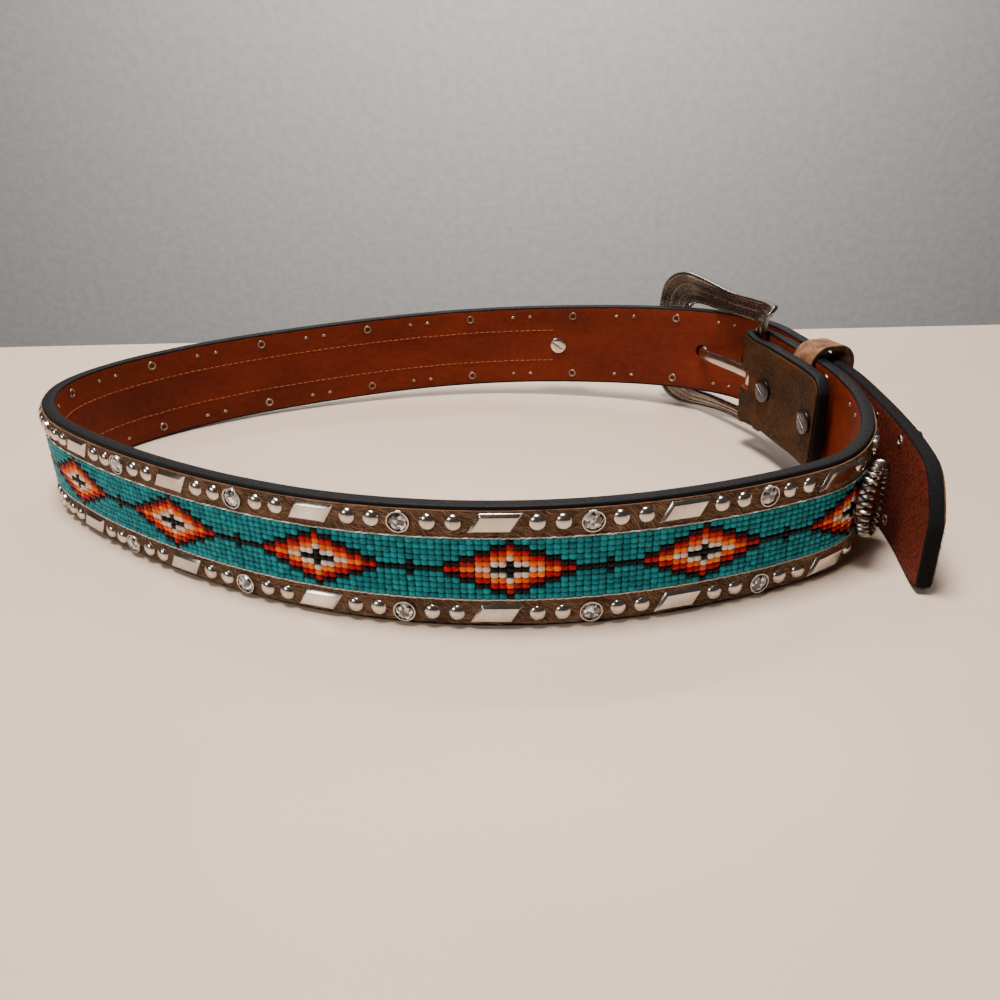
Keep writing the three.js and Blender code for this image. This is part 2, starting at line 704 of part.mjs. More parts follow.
// A crystal in its cup: eight facets slope up to a flat table.
function crystalStud() {
  const sides = 8;
  const ring = (radius, depth) => Array.from({ length: sides }, (_, i) => {
    const angle = ((i + 0.5) / sides) * 2 * Math.PI;
    return new THREE.Vector3(radius * Math.cos(angle), radius * Math.sin(angle), depth);
  });
  return loft([
    ring(CRYSTAL_RADIUS, 0),
    ring(CRYSTAL_RADIUS, CRYSTAL_HEIGHT * 0.5),
    ring(CRYSTAL_RADIUS * 0.55, CRYSTAL_HEIGHT),
  ], false);
}

// Round ornament with a lobed rope edge and a raised middle, turned about its own axis.
function concho(station) {
  const profile = [
    { radius: 0.9, depth: 0, lobe: 0 },
    { radius: 1, depth: 0.15, lobe: 1 },
    { radius: 1, depth: 0.85, lobe: 1 },
    { radius: 0.9, depth: 1, lobe: 0.4 },
    { radius: 0.74, depth: 0.7, lobe: 0 },
  ];
  const sides = CONCHO_LOBES * 2;
  const lobeDepth = 0.05;
  const ring = (row) => Array.from({ length: sides }, (_, i) => {
    const angle = (i / sides) * 2 * Math.PI;
    const dip = i % 2 === 0 ? 1 : 1 - lobeDepth * row.lobe;
    const radius = CONCHO_RADIUS * row.radius * dip;
    return new THREE.Vector3(radius * Math.cos(angle), radius * Math.sin(angle), row.depth * CONCHO_THICK);
  });
  const rings = profile.map(ring);
  const top = CONCHO_THICK * 0.7 + CONCHO_DOME;
  rings.push(ring({ radius: 0.42, depth: top * 0.85 / CONCHO_THICK, lobe: 0 }));
  rings.push(ring({ radius: 0.12, depth: top / CONCHO_THICK, lobe: 0 }));
  const seat = FACING_INNER + BEAD_BAND_THICK + SEAT_GAP;
  return setStud(loft(rings, false), station, MID_HEIGHT, seat, CONCHO_RADIUS);
}

function conchoScrew(station) {
  const head = new THREE.CylinderGeometry(CONCHO_SCREW_RADIUS * 0.8, CONCHO_SCREW_RADIUS, 1, 14);
  const place = seatPlace(station, CONCHO_SCREW_RADIUS, -1);
  const depth = INNER_FACE - SEAT_GAP - 0.5;
  const centre = offsetPlace(place, 0, depth).add(new THREE.Vector3(0, 0, MID_HEIGHT));
  return head.applyMatrix4(onStrap(place, centre));
}

function buckleFrame() {
  const half = BUCKLE_ROWS;
  const mirrored = half.slice(1, -1).reverse().map((row) => ({ ...row, up: -row.up, openUp: -row.openUp }));
  const rows = [...half, ...mirrored];
  const outline = (along, up, depth, drop) => new THREE.CatmullRomCurve3(rows.map((row) => new THREE.Vector3(
    row[along] * BUCKLE_LENGTH,
    row[up] * heelTop - drop,
    row[depth] * BUCKLE_THICK,
  )), true, 'centripetal');
  const outer = outline('along', 'up', 'depth', 0);
  // The opening sits low in the frame, level with the strap that passes through it.
  const inner = outline('openAlong', 'openUp', 'openDepth', OPENING_DROP);
  const steps = rows.length * 2;
  const rings = [];
  for (let i = 0; i < steps; i += 1) {
    const rim = outer.getPoint(i / steps);
    const opening = inner.getPoint(i / steps);
    rings.push(FRAME_SECTION.map(({ across, depth }) => {
      const spot = opening.clone().lerp(rim, across);
      return inFrame(spot.x, spot.z + depth * BUCKLE_THICK, spot.y);
    }));
  }
  return loft(rings, true);
}

// Plan route of the tongue: from the heel bar, slanting through the strap's hole, over the front.
function tonguePoints() {
  const rows = (list) => list.map((row) => (
    inFrame(row.along * BUCKLE_LENGTH, row.depth * BUCKLE_THICK, 0).setZ(0)));
  const hole = placeAt(mainRun, FIRST_HOLE);
  const through = hole.outward.clone().addScaledVector(frameAlong, 0.6).normalize();
  const reach = CORE_THICK + SEAT_GAP;
  const centre = hole.point.clone().setZ(0);
  const before = centre.clone().addScaledVector(through, -reach);
  const approach = before.clone().addScaledVector(frameAlong, -reach).addScaledVector(frameOut, -BUCKLE_THICK / 3);
  const after = centre.clone().addScaledVector(through, reach);
  return [...rows(TONGUE_ROOT_ROWS), approach, before, centre, after, ...rows(TONGUE_END_ROWS)];
}

// The tongue: a collar round the heel bar and a prong through the strap's first hole.
function buckleTongue() {
  const up = placeAt(mainRun, FIRST_HOLE).point.z + MID_HEIGHT - heelTop;
  const collarInner = BAR_RADIUS + SEAT_GAP;
  const half = (TONGUE_SLOT_HEIGHT - 2) / 2;
  const collar = new THREE.LatheGeometry([
    new THREE.Vector2(collarInner, -half),
    new THREE.Vector2(COLLAR_RADIUS, -half),
    new THREE.Vector2(COLLAR_RADIUS, half),
    new THREE.Vector2(collarInner, half),
    new THREE.Vector2(collarInner, -half),
  ], 16);
  collar.applyMatrix4(new THREE.Matrix4().makeRotationX(Math.PI / 2));
  collar.translate(heelBar.x, heelBar.y, heelTop + up);
  const curve = new THREE.CatmullRomCurve3(tonguePoints(), false, 'centripetal');
  const steps = 18;
  const rings = [];
  for (let i = 0; i <= steps; i += 1) {
    const spot = curve.getPoint(i / steps);
    const slope = curve.getTangent(i / steps);
    const taper = THREE.MathUtils.lerp(1, 0.75, i / steps);
    const wide = (TONGUE_WIDTH / 2) * taper;
    const thick = TONGUE_THICK / 2;
    const corners = [[-wide, -thick * 0.5], [-wide * 0.6, -thick], [wide * 0.6, -thick], [wide, -thick * 0.5],
      [wide, thick * 0.5], [wide * 0.6, thick], [-wide * 0.6, thick], [-wide, thick * 0.5]];
    rings.push(corners.map(([across, deep]) => new THREE.Vector3(
      spot.x + slope.y * deep,
      spot.y - slope.x * deep,
      heelTop + up + across,
    )));
  }
  return join([outwardFacing(mergeVertices(stripped(collar), 1e-4)), loft(rings, false)]);
}

function stripped(geometry) {
  geometry.deleteAttribute('normal');
  geometry.deleteAttribute('uv');
  return geometry;
}

// The keeper: a leather loop round the first stretch of strap and the tip that lies over it.
function keeper() {
  const place = seatPlace(KEEPER_STATION, KEEPER_BAND / 2, -1);
  const innerLow = INNER_FACE - SEAT_GAP;
  const innerHigh = TIP_ROWS[1].out * LAP_PITCH + BELT_THICK / 2 + STUD_PROUD + 2 * SEAT_GAP;
  const centre = (innerLow + innerHigh) / 2;
  const halfDeep = (innerHigh - innerLow) / 2;
  const halfTall = BELT_WIDTH / 2 + KEEPER_HEADROOM;
  const rings = [];
  for (const corner of KEEPER_CORNERS) {
    for (let i = 0; i <= 3; i += 1) {
      const angle = (corner.turn + i / 3) * (Math.PI / 2);
      rings.push([[-1, 0], [1, 0], [1, 1], [-1, 1]].map(([side, skin]) => {
        const radius = KEEPER_CORNER_RADIUS + skin * KEEPER_THICK;
        const deep = corner.deep * (halfDeep - KEEPER_CORNER_RADIUS) + radius * Math.cos(angle);
        const tall = corner.tall * (halfTall - KEEPER_CORNER_RADIUS) + radius * Math.sin(angle);
        const spot = offsetPlace(place, (side * KEEPER_BAND) / 2, centre + deep);
        return spot.add(new THREE.Vector3(0, 0, MID_HEIGHT + tall));
      }));
    }
  }
  return loft(rings, true);
}

function flapScrew(station) {
  const place = seatPlace(TURN_START - station, FLAP_SCREW_RADIUS, 1);
  const depth = BELT_THICK / 2 + SEAT_GAP + FLAP_SCREW_HEIGHT / 2;
  const head = new THREE.CylinderGeometry(FLAP_SCREW_RADIUS, FLAP_SCREW_RADIUS * 0.92, FLAP_SCREW_HEIGHT, 16);
  const centre = offsetPlace(place, 0, depth).add(new THREE.Vector3(0, 0, MID_HEIGHT));
  return head.applyMatrix4(onStrap(place, centre));
}

// Materials
const leather = new THREE.MeshStandardMaterial({ color: 0x96501e, roughness: 0.6, metalness: 0 });
const hide = new THREE.MeshStandardMaterial({ color: 0x6e4b37, roughness: 0.9, metalness: 0 });
const beads = new THREE.MeshStandardMaterial({ color: 0x208c8a, roughness: 0.35, metalness: 0 });
const nickel = new THREE.MeshStandardMaterial({ color: 0xc8beb4, roughness: 0.25, metalness: 1 });
const pewter = new THREE.MeshStandardMaterial({ color: 0x8a8580, roughness: 0.35, metalness: 1 });
const crystal = new THREE.MeshStandardMaterial({ color: 0xe6ebf0, roughness: 0.05, metalness: 0.1 });
const tan = new THREE.MeshStandardMaterial({ color: 0x966e46, roughness: 0.7, metalness: 0 });

const belt = new THREE.Group();

function addPiece(name, geometry, material) {
  const mesh = new THREE.Mesh(geometry, material);
  mesh.name = name;
  belt.add(mesh);
}

addPiece('strap_core', strapCore(), leather);
addPiece('hide_facing', hideFacing(), hide);
addPiece('bead_band', beadBand(), beads);
addPiece('buckle_frame', buckleFrame(), pewter);
addPiece('buckle_tongue', buckleTongue(), pewter);
addPiece('keeper', keeper(), tan);
FLAP_SCREW_STATIONS.forEach((station, i) => addPiece(`flap_screw_${i + 1}`, flapScrew(station), pewter));
CONCHO_STATIONS.forEach((station, i) => {
  addPiece(`concho_${i + 1}`, concho(station), nickel);
  addPiece(`concho_screw_${i + 1}`, conchoScrew(station), nickel);
});
for (const [row, height] of Object.entries(STUD_HEIGHTS)) {
  crystalPlaces().forEach(({ distance }, i) => {
    if (!hasRoom(distance, CRYSTAL_RADIUS)) return;
    const seat = FACING_OUTER + SEAT_GAP;
    const geometry = setStud(crystalStud(), distance, height, seat, CRYSTAL_RADIUS);
    addPiece(`crystal_${row}_${String(i + 1).padStart(2, '0')}`, geometry, crystal);
  });
}

// The origin goes to the middle of the footprint, at the height of the lowest point.
const box = new THREE.Box3().setFromObject(belt);
const centre = box.getCenter(new THREE.Vector3());
belt.position.set(-centre.x, -centre.y, -box.min.z);

export default belt;
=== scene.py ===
# %% [markdown]
# # A beaded leather belt
#
# This lesson dresses a plain solid model of a western belt: a leather strap with painted edges, a
# hair-on hide face, metal studs, crystals, a strip of loomed seed beads, two conchos and a buckle.
# The belt is buckled into a loop and stands on its lower edge.
#
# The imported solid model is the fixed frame. It is loaded first, and each new piece is placed by
# the same sizes as its solid, in metres.

import math
import random

import bpy
import numpy as np
from mathutils import Matrix, Vector


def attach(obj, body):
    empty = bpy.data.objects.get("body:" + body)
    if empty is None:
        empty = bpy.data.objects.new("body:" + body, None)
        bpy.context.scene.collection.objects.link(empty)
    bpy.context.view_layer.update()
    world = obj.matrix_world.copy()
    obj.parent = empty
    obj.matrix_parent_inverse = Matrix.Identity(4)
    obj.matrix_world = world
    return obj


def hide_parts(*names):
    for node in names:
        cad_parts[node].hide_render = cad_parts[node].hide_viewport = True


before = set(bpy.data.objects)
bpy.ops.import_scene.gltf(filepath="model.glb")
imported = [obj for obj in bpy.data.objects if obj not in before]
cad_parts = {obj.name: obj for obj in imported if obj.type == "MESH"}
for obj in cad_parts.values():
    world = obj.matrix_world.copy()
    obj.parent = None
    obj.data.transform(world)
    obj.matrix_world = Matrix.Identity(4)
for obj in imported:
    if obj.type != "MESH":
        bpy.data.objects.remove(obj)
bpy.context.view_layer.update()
random.seed(7)
mm = 0.001
print("frame nodes:", len(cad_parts))

# %% [markdown]
# ## The route of the strap
#
# A strap is cut and decorated flat on a bench and only then bent into a loop. The lesson works in
# the same order: every piece of the strap is modelled flat, with X as the distance along the
# strap, Y as the depth outward from its middle and Z as the height above its lower edge. One
# function then bends flat pieces onto the route. A Curve modifier could do this too, but it turns
# the section with the slope of the curve, and a strap's studs, beads and holes must stay exactly
# over each other.
#
# The route itself is a smooth curve through a short table of places, as in the solid model.

# %% Sizes and tables of the route
LOOP_ACROSS = 306 * mm
LOOP_DEEP = 215 * mm
BUCKLE_RAISE = 11 * mm
BELT_WIDTH = 38 * mm
LAP_PITCH = 7.9 * mm
FOLD_RADIUS = 5.52 * mm
FLAP_PITCH = 7.5 * mm
FLAP_LENGTH = 53 * mm
FLAP_INSET = 1.2 * mm
BUCKLE_LENGTH = 80 * mm
BUCKLE_HEIGHT = 64 * mm
BUCKLE_THICK = 3.4 * mm
HEEL_BAR_WIDTH = 4.5 * mm
OPENING_DROP = 2.2 * mm
SHIFT = Vector((-0.1209, -0.6339, 0)) * mm

# Columns: across and deep in shares of the loop, raise in shares of the buckle's raise.
LOOP_ROWS = [
    (0.438, 0.133, 1.0), (0.455, 0.028, 0.85), (0.469, -0.048, 0.71), (0.474, -0.118, 0.56),
    (0.472, -0.188, 0.4), (0.45, -0.289, 0.18), (0.406, -0.369, 0.05), (0.329, -0.426, 0),
    (0.22, -0.478, 0), (0.117, -0.5, 0), (0.013, -0.494, 0), (-0.091, -0.46, 0),
    (-0.189, -0.4, 0), (-0.287, -0.316, 0), (-0.38, -0.215, 0), (-0.452, -0.114, 0),
    (-0.492, -0.012, 0), (-0.5, 0.084, 0), (-0.475, 0.184, 0), (-0.417, 0.28, 0.04),
    (-0.334, 0.361, 0.11), (-0.232, 0.427, 0.2), (-0.125, 0.475, 0.31), (-0.017, 0.5, 0.43),
    (0.089, 0.499, 0.55), (0.196, 0.47, 0.68),
]
# Columns: along in shares of the buckle's length, depth in its thicknesses, raise.
PASS_ROWS = [(0.926, -2.92, 0.82), (0.65, 1.5, 0.94), (0.4, 3.91, 1.0)]
# Columns: distance past the heel in shares of the loop's depth, lap pitches outward, raise.
TIP_ROWS = [
    (-0.047, 0.97, 0.98), (0.042, 1.02, 0.87), (0.13, 1.0, 0.7), (0.206, 1.0, 0.5),
    (0.278, 1.06, 0.3), (0.345, 1.3, 0.14), (0.41, 1.72, 0.05), (0.472, 2.46, 0),
    (0.521, 3.59, 0),
]


# %% Smooth curves through a table
def smooth_curve(knots, per_span):
    """Points through all knots but the first and last, spaced by the root of their distance."""
    points = []
    for a, b, c, d in zip(knots, knots[1:], knots[2:], knots[3:]):
        before, span, after = ((q - p).length ** 0.5 for p, q in ((a, b), (b, c), (c, d)))
        leave = ((b - a) / before - (c - a) / (before + span) + (c - b) / span) * span
        arrive = ((c - b) / span - (d - b) / (span + after) + (d - c) / after) * span
        for step in range(per_span):
            t = step / per_span
            square = 3 * (c - b) - 2 * leave - arrive
            cube = 2 * (b - c) + leave + arrive
            points.append(b + leave * t + square * t ** 2 + cube * t ** 3)
    return points


def open_curve(controls, per_span=24):
    """A smooth curve from the first to the last control, kept at or above the table."""
    knots = [controls[0] * 2 - controls[1], *controls, controls[-1] * 2 - controls[-2]]
    points = smooth_curve(knots, per_span) + [controls[-1].copy()]
    for point in points:
        point.z = max(point.z, 0)
    return points


def closed_curve(controls, per_span):
    return smooth_curve([controls[-1], *controls, controls[0], controls[1]], per_span)


loop_controls = [Vector((a * LOOP_ACROSS, d * LOOP_DEEP, r * BUCKLE_RAISE)) for a, d, r in LOOP_ROWS]
loop_points = open_curve(loop_controls)
print("loop points:", len(loop_points))


# %% Places along a line of points
class Route:
    """A line of points with its running plan length, and the outward direction at each place."""

    def __init__(self, points):
        self.points = np.array([tuple(p) for p in points])
        steps = np.diff(self.points[:, :2], axis=0)
        self.lengths = np.concatenate([[0], np.cumsum(np.hypot(steps[:, 0], steps[:, 1]))])
        travel = np.gradient(self.points[:, :2], axis=0)
        travel /= np.hypot(travel[:, 0], travel[:, 1])[:, None]
        self.travel = travel
        self.start = 0.0

    def at(self, distances):
        """Point, direction of travel and outward direction at distances, as arrays."""
        d = np.atleast_1d(distances) - self.start
        point = np.stack([np.interp(d, self.lengths, self.points[:, i]) for i in range(3)], 1)
        travel = np.stack([np.interp(d, self.lengths, self.travel[:, i]) for i in range(2)], 1)
        travel /= np.hypot(travel[:, 0], travel[:, 1])[:, None]
        zero = np.zeros(len(d))
        along = np.stack([travel[:, 0], travel[:, 1], zero], 1)
        outward = np.stack([-travel[:, 1], travel[:, 0], zero], 1)
        return point, along, outward


def offset(route, distance, along, out):
    point, travel, outward = route.at(distance)
    return Vector(point[0] + travel[0] * along + outward[0] * out)


loop_route = Route(loop_points)
heel_bar = offset(loop_route, 0, 0, -FOLD_RADIUS)
heel_middle = BUCKLE_HEIGHT / 2
frame_along = Vector((-0.386, 0.922, 0)).normalized()
frame_out = Vector((frame_along.y, -frame_along.x, 0))


def in_buckle(along, depth, up):
    """A point in the buckle's own frame: from the heel bar forward, outward and up."""
    spot = Vector((heel_bar.x, heel_bar.y, heel_middle + up))
    return spot + frame_along * (along - HEEL_BAR_WIDTH / 2) + frame_out * depth


# %% The whole strap: flap, half turn round the heel bar, loop, buckle and tip
def main_controls():
    controls = list(loop_controls)
    for along, depth, rise in PASS_ROWS:
        spot = in_buckle(along * BUCKLE_LENGTH, depth * BUCKLE_THICK, 0)
        controls.append(Vector((spot.x, spot.y, rise * BUCKLE_RAISE)))
    for along, out, rise in TIP_ROWS:
        distance = along * LOOP_DEEP
        spot = offset(loop_route, max(distance, 0), min(distance, 0), out * LAP_PITCH)
        controls.append(Vector((spot.x, spot.y, rise * BUCKLE_RAISE)))
    return controls


def whole_strap():
    main = open_curve(main_controls())
    run = Route(main)
    flap = []
    for distance in np.linspace(FLAP_LENGTH, FLAP_LENGTH / 24, 24):
        blend = min(distance / (FLAP_LENGTH / 4), 1)
        flap.append(offset(run, distance, 0, -(2 * FOLD_RADIUS + (FLAP_PITCH - 2 * FOLD_RADIUS) * blend)))
    _, travel, outward = run.at(0)
    turn = []
    for angle in np.linspace(math.pi, 0, 33)[:-1]:
        reach = outward[0] * math.cos(angle) - travel[0] * math.sin(angle)
        turn.append(heel_bar + Vector(reach * FOLD_RADIUS))
    strap = Route(flap + turn + main)
    strap.start = -strap.lengths[len(flap) + len(turn)]
    fold_start = strap.lengths[len(flap)] + strap.start
    return strap, fold_start


INNER_FACE = -2.4 * mm
strap, FOLD_START = whole_strap()
STRAP_START = strap.start
STRAP_END = strap.lengths[-1] + strap.start
print("strap from %.1f to %.1f mm" % (STRAP_START / mm, STRAP_END / mm))

# %% [markdown]
# ## Helpers for modelling
#
# These few functions keep the rest short. Blender's operators act on whatever is selected, so a
# new piece always starts with everything deselected, and faces are picked by their place.


# %% Start a piece and edit it
def deselect():
    if bpy.context.object and bpy.context.object.mode != "OBJECT":
        bpy.ops.object.mode_set(mode="OBJECT")
    bpy.ops.object.select_all(action="DESELECT")


def begin(name, add, **settings):
    """Adds a primitive by an operator, with nothing else selected, and names it."""
    deselect()
    add(**settings)
    piece = bpy.context.object
    piece.name = name
    piece.data.name = name
    return piece


def use(piece):
    deselect()
    piece.select_set(True)
    bpy.context.view_layer.objects.active = piece


def edit(piece, faces=None, edges=None):
    """Goes into edit mode with the faces or edges picked by a test on their place selected."""
    use(piece)
    mesh = piece.data
    bpy.ops.object.mode_set(mode="EDIT")
    bpy.ops.mesh.select_mode(type="EDGE" if edges else "FACE")
    bpy.ops.mesh.select_all(action="DESELECT" if faces or edges else "SELECT")
    bpy.ops.object.mode_set(mode="OBJECT")
    if faces:
        for face in mesh.polygons:
            face.select = bool(faces(face.center, face.normal))
    if edges:
        for edge in mesh.edges:
            a, b = (mesh.vertices[i].co for i in edge.vertices)
            edge.select = bool(edges(a, b))
    bpy.ops.object.mode_set(mode="EDIT")


def done():
    bpy.ops.object.mode_set(mode="OBJECT")


# %% Transform what is selected about the origin
def resize(x, y, z):
    bpy.ops.transform.resize(value=(x, y, z), center_override=(0, 0, 0))


def move(x, y, z):
    bpy.ops.transform.translate(value=(x, y, z))


def rotate(angle, axis):
    bpy.ops.transform.rotate(value=angle, orient_axis=axis, center_override=(0, 0, 0))


# %% Change and remove whole pieces
def modify(piece, kind, **settings):
    """Adds a modifier, sets it and applies it."""
    use(piece)
    modifier = piece.modifiers.new(kind.title(), kind)
    for key, value in settings.items():
        setattr(modifier, key, value)
    bpy.ops.object.modifier_apply(modifier=modifier.name)


def remove(piece):
    bpy.data.objects.remove(piece)


def mesh_piece(name, points, faces):
    """A new piece from lists of points and faces."""
    mesh = bpy.data.meshes.new(name)
    mesh.from_pydata([tuple(point) for point in points], [], faces)
    return link(bpy.data.objects.new(name, mesh))


def link(piece):
    bpy.context.scene.collection.objects.link(piece)
    return piece


def duplicate(piece, name):
    """A copy with its own mesh."""
    twin = piece.copy()
    twin.data = piece.data.copy()
    twin.name = name
    return link(twin)


# %% Read and set a mesh's points
def get_points(piece):
    points = np.zeros(len(piece.data.vertices) * 3, np.float32)
    piece.data.vertices.foreach_get("co", points)
    return points.reshape(-1, 3).astype(float)


def set_points(piece, points):
    piece.data.vertices.foreach_set("co", np.asarray(points, np.float32).ravel())
    piece.data.update()


def keep(piece, name, values):
    """Stores one number or one vector a point, for a material to read."""
    values = np.asarray(values, np.float32)
    kind, key = ("FLOAT", "value") if values.ndim == 1 else ("FLOAT_VECTOR", "vector")
    layer = piece.data.attributes.new(name, kind, "POINT")
    layer.data.foreach_set(key, values.ravel())


# %% Bend a flat piece onto the route
SKIVE_SHARE = 0.36
SKIVE_REACH = 11 * mm


def skived(flat):
    """Thins the leather towards its back at the fold, as a maker does so that it turns tightly."""
    past = np.maximum(FOLD_START - flat[:, 0], flat[:, 0])
    thin = SKIVE_SHARE * np.clip(1 - past / SKIVE_REACH, 0, 1) ** 0.5
    above = np.maximum(flat[:, 1] - INNER_FACE, 0)
    return (flat[:, 1] - above * thin)[:, None]


def bend(piece):
    """Moves a flat piece's points onto the route and keeps their flat place for its material."""
    flat = get_points(piece)
    keep(piece, "flat", flat)
    point, _, outward = strap.at(flat[:, 0])
    world = point + outward * skived(flat)
    world[:, 2] += flat[:, 2]
    set_points(piece, world + np.array(SHIFT))
    return piece


def seat(piece, distance):
    """Places a stiff piece, modelled flat about its own middle, at a distance along the strap."""
    local = get_points(piece)
    point, along, outward = strap.at(distance)
    world = point + along * local[:, 0:1] + outward * local[:, 1:2]
    world[:, 2] += local[:, 2]
    set_points(piece, world + np.array(SHIFT))
    return piece


# %% Copies of one small shape joined into one mesh
def scatter(name, pattern, places, turn=None):
    """Joins copies of a pattern at flat places; each copy keeps a random tone for its colour."""
    shape = get_points(pattern)
    places = np.array(places, float)
    count, size = len(places), len(shape)
    points = np.repeat(shape[None], count, 0)
    if turn is not None:
        cosine, sine = np.cos(turn)[:, None], np.sin(turn)[:, None]
        x, z = points[:, :, 0].copy(), points[:, :, 2].copy()
        points[:, :, 0] = x * cosine - z * sine
        points[:, :, 2] = x * sine + z * cosine
    points += places[:, None, :]
    faces = [tuple(face.vertices) for face in pattern.data.polygons]
    joined = [tuple(i + copy * size for i in face) for copy in range(count) for face in faces]
    piece = mesh_piece(name, points.reshape(-1, 3).tolist(), joined)
    tones = np.random.default_rng(len(name) + count).random(count)
    keep(piece, "tone", np.repeat(tones, size))
    return piece


def stand_up(pattern):
    """Turns a pattern that was modelled lying on the bench so that its top faces outward."""
    points = get_points(pattern)
    set_points(pattern, points[:, [0, 2, 1]] * [1, 1, -1])
    return pattern


# %% Finish a piece: material, smooth shading and its place in the frame
def finish_piece(piece, material, replaces=(), angle=35):
    use(piece)
    piece.data.materials.clear()
    piece.data.materials.append(material)
    bpy.ops.object.shade_smooth_by_angle(angle=math.radians(angle))
    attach(piece, "root")
    if replaces:
        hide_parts(*replaces)
    print(piece.name, len(piece.data.polygons), "faces")
    return piece


# %% [markdown]
# ## Building blocks of the materials
#
# Each finish is a node tree. Three effects are used by several of them, so each is a node group:
# streaks and mottling in two colours, the fine grain of leather, and the dark paint that a
# leather worker lays on cut edges.


# %% A short way to add nodes
def place_node(tree, kind, sockets=None, **settings):
    """Adds a node, sets its options, and fills its inputs with values or with other outputs."""
    node = tree.nodes.new(kind)
    for key, value in settings.items():
        setattr(node, key, value)
    for key, value in (sockets or {}).items():
        if isinstance(value, bpy.types.NodeSocket):
            tree.links.new(value, node.inputs[key])
        else:
            node.inputs[key].default_value = value
    return node


def rgb(red, green, blue):
    """A colour given as it looks on a screen, from 0 to 255."""
    def linear(value):
        share = value / 255
        return share / 12.92 if share <= 0.04045 else ((share + 0.055) / 1.055) ** 2.4
    return (linear(red), linear(green), linear(blue), 1)


def new_group(name, inputs, outputs):
    group = bpy.data.node_groups.new(name, "ShaderNodeTree")
    for socket, kind, value in inputs:
        made = group.interface.new_socket(socket, in_out="INPUT", socket_type="NodeSocket" + kind)
        if value is not None:
            made.default_value = value
    for socket, kind in outputs:
        group.interface.new_socket(socket, in_out="OUTPUT", socket_type="NodeSocket" + kind)
    return group, group.nodes.new("NodeGroupInput"), group.nodes.new("NodeGroupOutput")


def noise(tree, vector, scale, detail=4.0, rough=0.55):
    sockets = {"Vector": vector, "Scale": scale, "Detail": detail, "Roughness": rough}
    return place_node(tree, "ShaderNodeTexNoise", sockets).outputs["Fac"]


def span(tree, value, low, high, start=0.0, end=1.0):
    """Maps low to high onto start to end, with soft ends."""
    sockets = {"Value": value, "From Min": low, "From Max": high, "To Min": start, "To Max": end}
    node = place_node(tree, "ShaderNodeMapRange", sockets, interpolation_type="SMOOTHSTEP")
    return node.outputs["Result"]


def mix(tree, share, first, second):
    node = place_node(tree, "ShaderNodeMix", data_type="RGBA")
    for index, value in ((0, share), (6, first), (7, second)):
        if isinstance(value, bpy.types.NodeSocket):
            tree.links.new(value, node.inputs[index])
        else:
            node.inputs[index].default_value = value
    return node.outputs[2]


def maths(tree, operation, first, second=0.0):
    node = place_node(tree, "ShaderNodeMath", {0: first, 1: second}, operation=operation)
    return node.outputs[0]


# %% Group: mottling between two colours
mottle, enter, leave = new_group(
    "Mottle",
    [("Vector", "Vector", None), ("Scale", "Float", 100.0), ("Dark", "Color", None),
     ("Light", "Color", None), ("Contrast", "Float", 0.5)],
    [("Color", "Color"), ("Share", "Float")],
)
patches = noise(mottle, enter.outputs["Vector"], enter.outputs["Scale"], 5.0, 0.6)
low_end = maths(mottle, "MULTIPLY_ADD", enter.outputs["Contrast"], -0.5)
low_end.node.inputs[2].default_value = 0.5
high_end = maths(mottle, "MULTIPLY_ADD", enter.outputs["Contrast"], 0.5)
high_end.node.inputs[2].default_value = 0.5
share = span(mottle, patches, 0.3, 0.7)
mottle.links.new(low_end, share.node.inputs["To Min"])
mottle.links.new(high_end, share.node.inputs["To Max"])
mottle.links.new(mix(mottle, share, enter.outputs["Dark"], enter.outputs["Light"]), leave.inputs["Color"])
mottle.links.new(share, leave.inputs["Share"])

# %% Group: leather grain as a height
grain, enter, leave = new_group(
    "Leather grain", [("Vector", "Vector", None), ("Scale", "Float", 900.0)], [("Height", "Float")]
)
vector, scale = enter.outputs["Vector"], enter.outputs["Scale"]
cells = place_node(grain, "ShaderNodeTexVoronoi", {"Vector": vector, "Scale": scale})
fine = noise(grain, vector, maths(grain, "MULTIPLY", scale, 2.3))
pebbles = maths(grain, "MULTIPLY", cells.outputs["Distance"], 0.7)
height = maths(grain, "ADD", pebbles, maths(grain, "MULTIPLY", fine, 0.6))
grain.links.new(height, leave.inputs["Height"])

# %% Group: edge paint, from the distance to the cut edge
edge_paint, enter, leave = new_group(
    "Edge paint",
    [("Edge", "Float", 1.0), ("Width", "Float", 1.5 * mm), ("Vector", "Vector", None)],
    [("Share", "Float")],
)
wobble = maths(edge_paint, "MULTIPLY", noise(edge_paint, enter.outputs["Vector"], 260.0), 0.9 * mm)
past_width = maths(edge_paint, "SUBTRACT", enter.outputs["Edge"], enter.outputs["Width"])
painted = span(edge_paint, maths(edge_paint, "ADD", past_width, wobble), 0.25 * mm, 0.6 * mm, 1.0, 0.0)
edge_paint.links.new(painted, leave.inputs["Share"])
print("groups:", [g.name for g in bpy.data.node_groups])


# %% Start a material
def new_material(name, **constants):
    """A material with one Principled shader; constants are set on its own sockets."""
    material = bpy.data.materials.new(name)
    material.use_nodes = True
    tree = material.node_tree
    tree.nodes.clear()
    shader = tree.nodes.new("ShaderNodeBsdfPrincipled")
    output = tree.nodes.new("ShaderNodeOutputMaterial")
    tree.links.new(shader.outputs[0], output.inputs[0])
    for key, value in constants.items():
        shader.inputs[key.replace("_", " ")].default_value = value
    return material, tree, shader


def drive(shader, socket, output):
    """Links an output to one of the shader's sockets."""
    shader.id_data.links.new(output, shader.inputs[socket])


def own_place(tree):
    return place_node(tree, "ShaderNodeTexCoord").outputs["Object"]


def attribute(tree, name, output="Vector"):
    return place_node(tree, "ShaderNodeAttribute", attribute_name=name).outputs[output]


